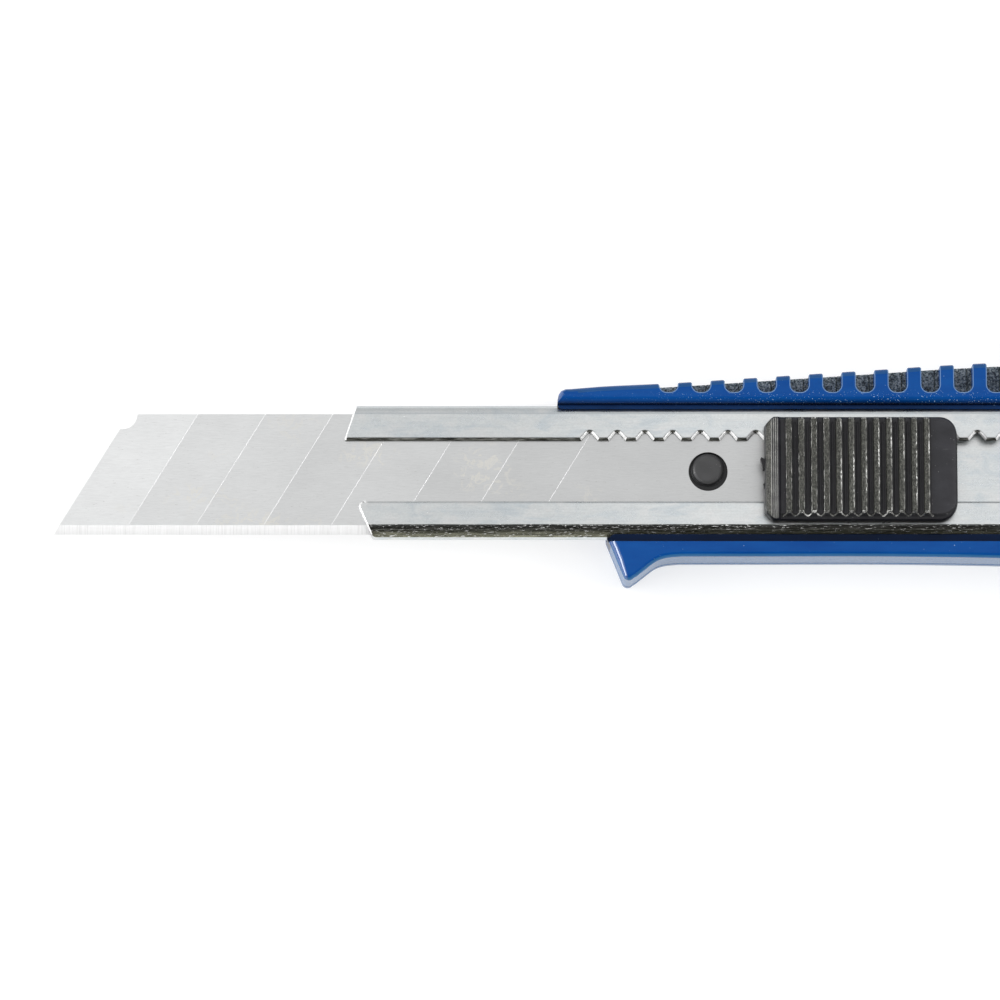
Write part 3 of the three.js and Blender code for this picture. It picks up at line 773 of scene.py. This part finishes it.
def notch_outline(x):
    peak = UPPER_LIP + NOTCH["depth"]
    foot, crown = NOTCH["base"] / 2, NOTCH["crown"]
    rounded = arc(x, peak - crown, crown, 35, 145, 8)
    below = 0.6
    wide, level = foot + below, UPPER_LIP - below
    return [(x - wide, level), (x + wide, level), (x + foot, UPPER_LIP), *rounded, (x - foot, UPPER_LIP)]


def off_face(y, z):
    """How far a place in the section lies outside the channel's outer face."""
    low, high = SHEATH_Z
    upright = FOLD
    wide = FOLD
    if z > (low + high) / 2:
        wide = UPPER_FOLD if y > 0 else LOWER_FOLD_WIDTH
        upright = UPPER_FOLD if y > 0 else FOLD
    out = (abs(y) - SHEATH_HALF + wide) / wide
    up = (abs(z - (low + high) / 2) - (high - low) / 2 + upright) / upright
    return (math.hypot(max(out, 0.0), max(up, 0.0)) + min(max(out, up), 0.0) - 1) * upright


def blanked(edge, middle):
    """True for the cut edges on the channel's outer face, which the press has rolled over."""
    upright = abs(edge.verts[0].co.z - edge.verts[1].co.z) > 0.6 * edge.calc_length()
    return abs(off_face(middle.y, middle.z)) < 0.05 or upright and middle.z > SHEATH_Z[1] - SHEET


def make_sheath():
    made = scratch(run_x(sheath_section(), 0.0, SHEATH_END))
    mouth = [(-1, 11), (1.9, 11), (1.7, SHEATH_HALF - 0.2), (0, UPPER_LIP),
             (0, UPPER_LIP - 0.3), (3.1, LOWER_LIP + 0.2), *arc(2.98, -5.2, 0.74, 80, 200, 8), (3.9, -9.0),
             (4.5, -11), (-1, -11)]
    cutters = [prism(mouth, SHEATH_Z[0] - 1, SHEATH_Z[1] + 1)]
    cutters += [prism(notch_outline(x), SHEATH_Z[1] - 1.2, SHEATH_Z[1] + 1) for x in places(NOTCH)]
    carve(made, cutters)
    round_edges(made, MOUTH_EDGE, 4, lambda edge, middle: blanked(edge, middle) and middle.x < 6)
    round_edges(made, ROLLED_EDGE, 5, lambda edge, middle: blanked(edge, middle) and middle.x > 6)
    round_edges(made, BURR, 2, lambda edge, middle: not blanked(edge, middle))

    def choose(centre, normal):
        on_lip = centre.z > SHEATH_Z[1] - SHEET - 0.01
        beside_cut = UPPER_LIP - 0.1 < centre.y < UPPER_LIP + NOTCH["depth"] + ROLLED_EDGE
        # The rolled cut edges take the cut paint, a painted highlight.
        rolled = on_lip and abs(normal.x) > 0.25 and normal.z > -0.2 and (beside_cut or centre.x < 6)
        if rolled:
            return "cut"
        # The upper lip's cut face towards the cutting edge takes painted shade.
        if on_lip and beside_cut and normal.y < -0.3 and normal.z < 0.9:
            return "lip_edge_shade"
        return "fold" if centre.y < -SHEATH_HALF + LOWER_FOLD_WIDTH - 0.02 and normal.z > 0.63 else "zinc"

    paint_faces(made, ["zinc", "fold", "cut", "lip_edge_shade"], choose)
    return piece(made, "blade_channel", "sheath", "handle", smooth=32.0)


# ---- handle ----


def spine_line(drop=0.0):
    """The upper edge without its notches: a rising straight with a gentle crown behind it."""
    rise = [(x, 13.08 + (x - 50.3) * 0.0659) for x in (50.3, 60.0, 70.0, 80.0, 90.0)]
    points = [(33.6, 12.1), (36.5, 12.34), (39.5, 12.55), (46.0, 12.85), *rise, (106.0, 16.4), (122.0, 16.35),
              (HANDLE_X[1], 15.0)]
    return [(x, y - drop) for x, y in curve(points, 5)]


def upper_outline():
    """The front of the upper rail and the spine, with the rim radius at each point."""
    front = HANDLE_X[0]
    nose = [(front + x, y) for x, y in ((0.02, 9.0), (0, 10.4), (0.18, 11.2), (0.55, 11.75), (1.15, 12.02))]
    return [(p, 0.8) for p in nose] + [(p, 1.1) for p in spine_line()]


def lower_outline():
    """The belly from the rear to the guard and back up to the front."""
    belly = [(HANDLE_X[1], -13.6), (120, -13.95), (100, -13.25), (80, BELLY), (60, BELLY), (51.5, BELLY)]
    guard = curve([(49.7, BELLY - 0.01), (47.6, -13.17), (46.08, -13.70), (44.6, -14.8), (43.25, -15.86)], 4)
    tip = arc(42.08, -15.6, 0.88, -38, -158, 10)
    front = [(40.3, -13.56), (39.4, -11.33), (38.86, -10.0), (38.8, -9.0)]
    stretches = (([*curve(belly, 5), *guard], 0.75), (tip, 0.8), (front, 1.25))
    return [(p, rim) for stretch, rim in stretches for p in stretch]


def corner_cutter(x, y, radius, side):
    """Rounds a ledge's front corner. side is +1 where the ledge lies above the corner, or -1 below it."""
    turned = arc(x + radius, y + side * radius, radius, 270 if side > 0 else 90, 180, 8)
    outer = [(x - 0.5, y + side * radius), (x - 0.5, y - side * 0.5), (x + radius, y - side * 0.5)]
    return prism([*turned, *outer], SHEATH_Z[1] - 0.2, HANDLE_Z[1] + 1)


def spine_height(x):
    line = spine_line()
    for (x0, y0), (x1, y1) in zip(line, line[1:]):
        if x0 <= x <= x1:
            return y0 + (y1 - y0) * (x - x0) / (x1 - x0)
    return line[-1][1]


def notch_cutter(x):
    """A U-shaped notch that also rounds the shoulders of the ridges on both sides of it."""
    half, corner, shoulder = SPINE["width"] / 2, SPINE["corner"], SPINE["shoulder"]
    left, right = x - half - shoulder, x + half + shoulder
    outline = [
        *arc(x - half + corner, SPINE["floor"] + corner, corner, 180, 270, 8),
        *arc(x + half - corner, SPINE["floor"] + corner, corner, 270, 360, 8),
        *arc(right, spine_height(right) - shoulder, shoulder, 180, 90, 6),
        (right, 24.0), (left, 24.0),
        *arc(left, spine_height(left) - shoulder, shoulder, 90, 0, 6),
    ]
    return prism(outline, -1, HANDLE_Z[1] + 1)


def bay_section():
    """The open channel for the sheath and slider, flaring into the upper rail with a wide radius."""
    top, base = HANDLE_Z[1], SHEATH_Z[0] - 0.05
    roof = SHEATH_Z[1] + 0.03
    wide, small = 1.0, 0.1
    half = SHEATH_HALF + 0.1
    return [
        (-half, base), (half, base), (half, roof), (UPPER_LEDGE, roof),
        *arc(UPPER_LEDGE + small, LEDGE_TOP - small, small, 180, 90, 3),
        (UPPER_RAIL, LEDGE_TOP),
        *arc(UPPER_RAIL + wide, top - wide, wide, 180, 90, 8)[1:],
        (UPPER_RAIL + wide, top + 1), (LOWER_RAIL - small, top + 1),
        *arc(LOWER_RAIL - small, top - small, small, 90, 0, 3),
        (LOWER_RAIL, LEDGE_TOP),
        *arc(LOWER_LEDGE - small, LEDGE_TOP - small, small, 90, 0, 3),
        (LOWER_LEDGE, roof), (-half, roof),
    ]


def make_handle():
    drawn = upper_outline() + lower_outline()
    made = scratch(prism([p for p, _ in drawn], *HANDLE_Z, [r for _, r in drawn], steps=6, seam=SEAM))
    cutters = [run_x(bay_section(), HANDLE_X[0] - 5, HANDLE_X[1] + 1)]
    for y in (-GROOVE["spacing"], 0.0, GROOVE["spacing"]):
        across = (y - GROOVE["half"], y + GROOVE["half"])
        cutters.append(slab((GROOVE["front"], HANDLE_X[1] + 1), across, (GROOVE["roof"], SHEATH_Z[0])))
    cutters.append(slab((GRIP_X[0] - 0.1, GRIP_X[1] + 0.1), (11.3, 20), (GRIP_Z[0] - 0.1, GRIP_Z[1] + 0.1)))
    cutters += [notch_cutter(x) for x in places(SPINE)]
    cutters.append(corner_cutter(HANDLE_X[0], UPPER_LEDGE, 0.8, 1))
    cutters.append(corner_cutter(GUARD_FRONT, LOWER_LEDGE, 0.95, -1))
    carve(made, cutters)

    def choose(centre, normal):
        inside = LOWER_RAIL - 0.02 < centre.y < UPPER_RAIL + 0.04 and centre.z > 4.0
        # The ledges beside the sheath take painted shade.
        if inside and centre.z < HANDLE_Z[1] - 0.05:
            return "recess_shade" if centre.y > 0 else "low_recess_shade"
        if centre.x < 43.5 and normal.x < -0.25 and 0.4 < normal.z < 0.96:
            return "gloss"
        # The sloping faces of the spine's top take the painted sheen.
        if centre.y > 11.5 and 0.2 < normal.z < 0.93:
            return "crest_sheen"
        # The belly's side walls take the painted reflection.
        return "wall" if abs(normal.z) < 0.9 and centre.y < LOWER_RAIL - 0.3 else "blue"

    paint_faces(made, ["blue", "recess_shade", "low_recess_shade", "crest_sheen", "wall", "gloss"], choose)
    return piece(made, "handle_moulding", "handle_body", "handle", smooth=32.0)


def make_grip():
    line = [p for p in spine_line(0.28) if GRIP_X[0] + 0.2 < p[0] < GRIP_X[1] - 0.2]
    outline = [(GRIP_X[0] + 0.1, 11.45), (GRIP_X[0] + 0.1, line[0][1] - 0.05), *line,
               (GRIP_X[1] - 0.1, line[-1][1] - 0.05), (GRIP_X[1] - 0.1, 11.45)]
    made = scratch(prism(outline, GRIP_Z[0], GRIP_Z[1], 0.12, steps=2))
    slits = [(x + 0.75 - 0.09, x + 0.75 + 0.09) for x in places(SPINE)]
    carve(made, [slab(slit, (11.6, 20), (GRIP_Z[1] - 0.5, GRIP_Z[1] + 1)) for slit in slits])
    paint_faces(made, ["rubber"])
    return piece(made, "spine_rubber_strip", "spine_grip", "handle")


# ---- carrier, slider and cap ----


def rounded(low, high, radius, steps=6):
    """A rectangle with round corners."""
    left, right, bottom, top = low[0] + radius, high[0] - radius, low[1] + radius, high[1] - radius
    corners = ((right, bottom), (right, top), (left, top), (left, bottom))
    return [p for k, at in enumerate(corners) for p in arc(*at, radius, 90 * k - 90, 90 * k, steps)]


def make_carrier():
    x, y, z = (cad_range("blade_carrier", axis) for axis in range(3))
    under = BLADE_Z[0] - 0.05
    front, rear = SADDLE["front"], SADDLE["rear"]
    half, wall = SADDLE["half"], SADDLE["wall"]
    across, upright = (SADDLE["low"], SADDLE["high"]), (under, SADDLE["top"])
    depth = (z[0] + 0.3, 12)
    made = scratch(prism(rounded((x[0], y[0]), (x[1], y[1]), 2.4), z[0], under, 0.2, steps=2))
    carve(made, [
        prism(rounded((front, y[0]), (rear, y[1]), 0.6), under - 0.3, SHEATH_Z[1] - SHEET - 0.1),
        slab((front, front + wall), across, upright),
        slab((rear - wall, rear), across, upright),
        prism(rounded((front, -half), (rear, half), 0.6), SHEATH_Z[1] + 0.1, SHEATH_Z[1] + 1.0),
    ], "UNION")
    aside = SPRING_BAY["half"]
    carve(made, [
        slab((SPRING_BAY["front"], SPRING_BAY["rear"]), (-aside, aside), depth),
        slab((ARM_SLOT["front"], ARM_SLOT["rear"]), (-aside, ARM_SLOT["end"]), depth),
    ])
    carve(made, [peg_dome(under)], "UNION")

    def choose(centre, normal):
        on_peg = centre.z > SHEATH_Z[1] - SHEET and centre.x < HOLE["x"] + HOLE["radius"]
        return "peg" if on_peg else "carrier"

    paint_faces(made, ["carrier", "peg"], choose)
    return piece(made, "blade_shoe", "blade_carrier", "carriage")


def peg_dome(under):
    """The round peg: a flat crown, a wide soft shoulder and a thin collar round its foot."""
    radius, top = PEG["radius"], PEG["top"]
    collar, shoulder = 0.16, 0.7
    levels = [(radius, under - 0.4), (radius, top - shoulder - 0.12), (radius - 0.05, top - shoulder - 0.06)]
    levels.append((radius - collar, top - shoulder - 0.03))
    centre = (radius - collar - shoulder, top - shoulder)
    levels += [(r, z) for r, z in arc(*centre, shoulder, 0, 90, 9)]
    levels.append((0.5, top + 0.02))
    rings = [(arc(0, 0, r, 0, 354, 59), z) for r, z in levels]
    return loft([[(PEG["x"] + px, PEG["y"] + py, z) for px, py in ring] for ring, z in rings])


def make_spring():
    """The leaf that lifts the slider, with the tooth that it drops out of a notch when the slider is pressed.
    """
    x, y, z = (cad_range("lock_spring", axis) for axis in range(3))
    leaf, crown, foot = LEAF["thickness"], LEAF["crown"], LEAF["foot_x"]
    under = curve([(x[1], z[0]), (foot, z[0]), (foot - 1.6, z[0] + 0.12), (76.5, crown - leaf - 0.14),
                   (74.6, crown - leaf), (71.9, crown - leaf), (70.7, crown - leaf - 0.05)], 8)
    bm = prism([*under, *((px, pz + leaf) for px, pz in reversed(under))], y[0], -y[0])
    bmesh.ops.rotate(bm, verts=bm.verts, matrix=Matrix.Rotation(math.pi / 2, 3, "X"))
    made = scratch(bm)
    tooth = NOTCH["first"] + LEAF["notch"] * NOTCH["pitch"]
    arm = slab((tooth - 0.85, tooth + 0.85), (2.8, 4.9), (crown - leaf, crown))
    tip = [(-0.85, 4.2), (0.85, 4.2), (0.75, 4.8), (0.25, y[1]), (-0.25, y[1]), (-0.75, 4.8)]
    carve(made, [arm, prism([(tooth + px, py) for px, py in tip], crown - leaf, z[1])], "UNION")
    paint_faces(made, ["spring"])
    bend = ("carriage", "slider", (foot, 0.0, 0.0), (foot - 9.5, 0.0, 0.0))
    return piece(made, "bowed_leaf_spring", "lock_spring", bend)


def step(value, low, high):
    t = min(max((value - low) / (high - low), 0.0), 1.0)
    return t * t * (3 - 2 * t)


def follow(value, stops):
    """A smooth line from stop to stop, each a place and a height."""
    for (x0, z0), (x1, z1) in zip(stops, stops[1:]):
        if value <= x1:
            return z0 + (z1 - z0) * step(value, x0, x1)
    return stops[-1][1]


def quarter(gap, radius):
    """How far a rounded edge has dropped at a distance from the side."""
    inward = min(max(radius - gap, 0.0), radius)
    return radius - math.sqrt(radius ** 2 - inward ** 2)


def knob_half_width(x):
    """Half the slider's width: the front corners are cut, and the rear ones are round."""
    front, rear = KNOB_X
    corner = KNOB_CORNER
    if x < front + KNOB_BEVEL:
        return KNOB_HALF - 1.3 * (1 - (x - front) / KNOB_BEVEL) ** 1.3
    if x > rear - corner:
        return KNOB_HALF - corner + math.sqrt(max(corner ** 2 - (x - rear + corner) ** 2, 0.0))
    return KNOB_HALF


def beside_line(x):
    """The distance from the nearest of the fine lines behind the front edge."""
    return abs(nearest(x - KNOB_X[0], FINE)[1])


def inside_rib_end(x, y):
    """How far a place lies inside the ribs' ends, which are further in on the cutting edge's side."""
    return knob_half_width(x) - abs(y) - (RIB["low_end"] if y < 0 else 0.05)


def beside_scallop(x, y):
    """The distance from the wavy lip that joins the ribs' lower ends."""
    if y > 0 or x < RIB["first"] - SCALLOP["front"] or x > KNOB_X[1] - SCALLOP["rear"]:
        return KNOB_HALF
    wave = SCALLOP["wave"] * math.cos(2 * math.pi * nearest(x, RIB)[1] / RIB["pitch"])
    return abs(inside_rib_end(x, y) + SCALLOP["lift"] - wave)


def knob_height(x, y):
    """The top surface: a sloping front with fine lines, a hollow, ribs with round ends, a plain rear."""
    front, rear = KNOB_X
    profile = [(0, -0.75), (0.3, -0.12), (0.9, 0.34), (1.95, 0.42), (2.4, -0.02), (2.9, -0.06), (3.2, 0.0)]
    edge = knob_half_width(x) - abs(y)
    level = KNOB_TOP - RIB["height"] + follow(x - front, profile)
    level += FINE["height"] * step(FINE["half"] - beside_line(x), 0.0, 0.05)
    off = abs(nearest(x, RIB)[1])
    end = 0.45
    inside = inside_rib_end(x, y)
    ends = 1 - quarter(inside, end) / end
    half = RIB["width"] / 2 - 0.5 * quarter(inside, end)
    level += SCALLOP["height"] * step(SCALLOP["half"] - beside_scallop(x, y), 0.0, 0.12)
    level += RIB["height"] * step(half + 0.09 - off, 0.0, 0.16) * ends
    if RIB["first"] < x < RIB["first"] + (RIB["count"] - 1) * RIB["pitch"]:
        level -= 0.13 * step(off, half + 0.1, RIB["pitch"] / 2) * step(edge, 0.5, 1.2)
    return level - quarter(edge, 0.95) - 0.6 * quarter(rear - x, 1.2)


def flash_nub(outline):
    """A scrap of moulding flash on the slider's front edge."""
    return prism(outline, *FLASH_Z, FLASH_RIM, steps=2)


def make_slider():
    front, rear = KNOB_X
    columns = [front + (rear - front) * k / KNOB_COLUMNS for k in range(KNOB_COLUMNS + 1)]
    edges = [-1 + 0.17 * k / 12 for k in range(12)]
    rows = edges + [-0.83 + 1.66 * k / 32 for k in range(33)] + [-v for v in reversed(edges)]
    bm = bmesh.new()
    grid = []
    for x in columns:
        half = max(knob_half_width(min(max(x, front + 1e-3), rear - 1e-3)), 1.0)
        grid.append([bm.verts.new((x, v * half, knob_height(x, v * half))) for v in rows])
    for a, b in zip(grid, grid[1:]):
        for k in range(len(rows) - 1):
            bm.faces.new((a[k], b[k], b[k + 1], a[k + 1]))
    rim = [column[0] for column in grid] + grid[-1][1:]
    rim += [column[-1] for column in grid[-2::-1]] + grid[0][-2:0:-1]
    wall = KNOB_WALL
    low = [bm.verts.new((v.co.x, v.co.y, KNOB_BOTTOM)) for v in rim]
    skin(bm, low, rim)
    bm.faces.new(low[::-1])
    made = scratch(bm)
    hollow = rounded((front + wall + 1, -KNOB_HALF + wall), (rear - wall - 0.4, KNOB_HALF - wall), 1.0)
    carve(made, [prism(hollow, KNOB_BOTTOM - 1, KNOB_TOP - RIB["height"] - 1.0)])
    boss = prism(rounded((70.4, -3.1), (84.6, 3.1), 0.5), cad_range("thumb_slider", 2)[0], KNOB_TOP - 1.5)
    upper = [(-0.62, 1.5), (-0.45, 1.72), (0.3, 1.4), (0.3, -0.1), (-0.25, -0.15), (-0.38, 0.5)]
    lower = [(-0.22, -2.2), (0.3, -2.0), (0.3, -2.95), (-0.1, -2.85)]
    nubs = [flash_nub([(front + x, y) for x, y in outline]) for outline in (upper, lower)]
    carve(made, [boss, *nubs], "UNION")

    def choose(centre, normal):
        behind = centre.x - front
        edge = knob_half_width(centre.x) - abs(centre.y)
        if edge < 0.2 or centre.z < KNOB_TOP - 1.1:
            return "nylon"
        # The fine raised lines behind the front edge are painted paler.
        if beside_line(centre.x) < FINE["half"] and 0.8 < behind < 2.1:
            return "pale_lines"
        if behind < 0.9:
            return "worn"
        number, off = nearest(centre.x, RIB)
        half = RIB["width"] / 2
        end = inside_rib_end(centre.x, centre.y)
        # Painted highlight: the wavy lip that joins the ribs' lower ends takes the pale paint.
        if beside_scallop(centre.x, centre.y) < 0.11:
            return "scuffed"
        # Painted light and shade: the middle of each valley is paler, and its sides beside the ribs stay
        # dark.
        if abs(off) > half + 0.05 or centre.z < KNOB_TOP - 0.5 or end < 0:
            return "valley_painted_light" if abs(off) > RIB["pitch"] / 2 - 0.27 and end > 0 else "nylon"
        # Scratches on the rib edges, and painted highlights on the rib ends.
        scratched = off > half - 0.2 if number > 3 else abs(off) > half - 0.06
        return "scuffed" if scratched or end < 0.4 else "worn"

    paint_faces(made, ["nylon", "valley_painted_light", "worn", "scuffed", "pale_lines"], choose)
    return piece(made, "ribbed_thumb_slider", "thumb_slider", "slider", smooth=50.0)


def make_cap():
    front, end = CAP_X
    rear = [*arc(end - 7, 6.0, 7.0, 0, 62, 8), (front + 6, 14.3), (front, 15.0)]
    lower = [(front, -13.6), (front + 8, -13.55), *arc(end - 6, -7.3, 6.0, -90, 0, 8)]
    outline = [*lower, *rear]
    made = scratch(prism(outline, *HANDLE_Z, 0.7, steps=5))
    into = front + CAP_OVERLAP
    across = (-CAP_TONGUE_HALF, CAP_TONGUE_HALF)
    inside = (SHEATH_Z[0] + SHEET + 0.1, SHEATH_Z[1] - SHEET - 0.1)
    joined = [slab((front - CAP_TONGUE, into), across, inside)]
    for y in (-GROOVE["spacing"], GROOVE["spacing"]):
        across = (y - CAP_PRONG_HALF, y + CAP_PRONG_HALF)
        joined.append(slab((cad_range("end_cap", 0)[0], into), across, (CAP_PRONG_LOW, SHEATH_Z[0] - 0.3)))
    carve(made, joined, "UNION")
    level = BLADE_Z[0]
    cutters = [slab((end - 9, end + 1), (-9.5, 9.5), (level - 0.5, level + 0.5))]
    across = (-CAP_RIB["half"], CAP_RIB["half"])
    depth = (HANDLE_Z[1] - CAP_RIB["depth"], HANDLE_Z[1] + 1)
    cutters += [slab((front + x, front + x + CAP_RIB["width"]), across, depth) for x in places(CAP_RIB)]
    carve(made, cutters)
    soften(made, 0.12, angle=60.0, steps=2)
    paint_faces(made, ["cap"])
    return piece(made, "rear_cap", "end_cap", "cap")


# ---- floor, light and camera ----


def make_floor():
    """A light table: pale, and lit from below enough to take away the shadows."""
    paint = Paint("pale_floor", (0.4, 0.4, 0.4), 0.75, 0.0, 0.1)
    clouds = paint.ramp(paint.noise((0.02, 0.02, 0.02), detail=2.0), [(0.3, 0.39), (0.7, 0.41)])
    paint.dress({"Base Color": clouds, "Emission Color": (1.0, 1.0, 1.0), "Emission Strength": 0.66})
    size, drop = 5.0, 0.00003
    corners = [(x * size, y * size, -drop) for x, y in ((-1, -1), (1, -1), (1, 1), (-1, 1))]
    mesh = bpy.data.meshes.new("floor")
    mesh.from_pydata(corners, [], [(0, 1, 2, 3)])
    mesh.materials.append(paint.material)
    add("floor", mesh)


def make_sky():
    """A pale surround, dark high up on the side of the cutting edge."""
    world = bpy.data.worlds.new("studio")
    world.use_nodes = True
    bpy.context.scene.world = world
    sky = Nodes(world.node_tree)
    surround, output = sky.tree.nodes["Background"], sky.tree.nodes["World Output"]
    split = sky.node("SeparateXYZ", {"Vector": sky.node("TexCoord").outputs["Generated"]})
    x, y, z = split.outputs
    levels = [(0.0, 0.05), (0.42, 0.04), (0.465, 0.95), (0.58, 1.0), (0.68, 0.85), (1.0, 0.7)]
    bands = sky.ramp(sky.span(y, -1.0, 1.0), [(at, (level, level, level * 1.01)) for at, level in levels])
    away = sky.math("MAXIMUM", sky.span(sky.math("ABSOLUTE", x), 0.32, 0.6), sky.span(z, 0.74, 0.56))
    sky.feed(surround.inputs["Color"], sky.mix(away, bands, (0.5, 0.5, 0.505), "LIGHTEN"))
    backdrop = sky.node("Background", {"Color": (1.0, 1.0, 1.0)})
    seen = sky.node("LightPath").outputs["Is Camera Ray"]
    either = sky.node("MixShader", {0: seen, 1: surround.outputs[0], 2: backdrop.outputs[0]})
    sky.feed(output.inputs["Surface"], either.outputs[0])


def point(made, place, direction):
    """Stands a lamp or the camera at a place and turns it to look in a direction."""
    made.location = place
    made.rotation_mode = "QUATERNION"
    made.rotation_quaternion = direction.to_track_quat("-Z", "Y")


def softbox(name, place, width, height, radiance, diffuse=True, glossy=True):
    """A lamp turned to the knife. It can be kept out of the even light or out of the reflections."""
    light = bpy.data.lights.new(name, "AREA")
    light.shape = "RECTANGLE"
    light.size, light.size_y = width, height
    light.energy = radiance * math.pi * width * height
    made = add(name, light)
    point(made, place, -Vector(place))
    made.visible_diffuse = diffuse
    made.visible_glossy = glossy


def make_lights():
    softbox("left_softbox", (-0.75, -0.05, 0.38), 0.7, 0.55, 4.2, glossy=False)
    softbox("right_softbox", (0.78, 0.05, 0.42), 0.7, 0.6, 3.2, glossy=False)
    softbox("left_glint", (-0.62, -0.05, 0.36), 0.3, 0.3, 6.0, diffuse=False)
    for name, x in (("near_left_softbox", -0.42), ("near_right_softbox", 0.46)):
        softbox(name, (x, -0.42, 0.5), 0.12, 0.12, 9.0)


def make_camera():
    """The photograph's view: almost straight down, tipped a little towards the cutting edge."""
    tilt = math.radians(82.0)
    width = 0.1479
    lens, sensor = 200.0, 36.0
    away = width * lens / sensor
    aim = DATUM + Vector((23.1, -4.15, 7.55)) * MM
    back = Vector((0.0, -math.cos(tilt), math.sin(tilt)))
    data = bpy.data.cameras.new("camera")
    data.lens, data.sensor_width = lens, sensor
    data.clip_start, data.clip_end = 0.05, 20.0
    camera = add("camera", data)
    point(camera, aim + back * away, -back)
    bpy.context.scene.camera = camera


make_camera()
make_blade()
make_sheath()
make_handle()
make_grip()
make_carrier()
make_slider()
make_cap()
make_spring()
make_floor()
make_sky()
make_lights()
bpy.context.scene.view_settings.view_transform = "Standard"
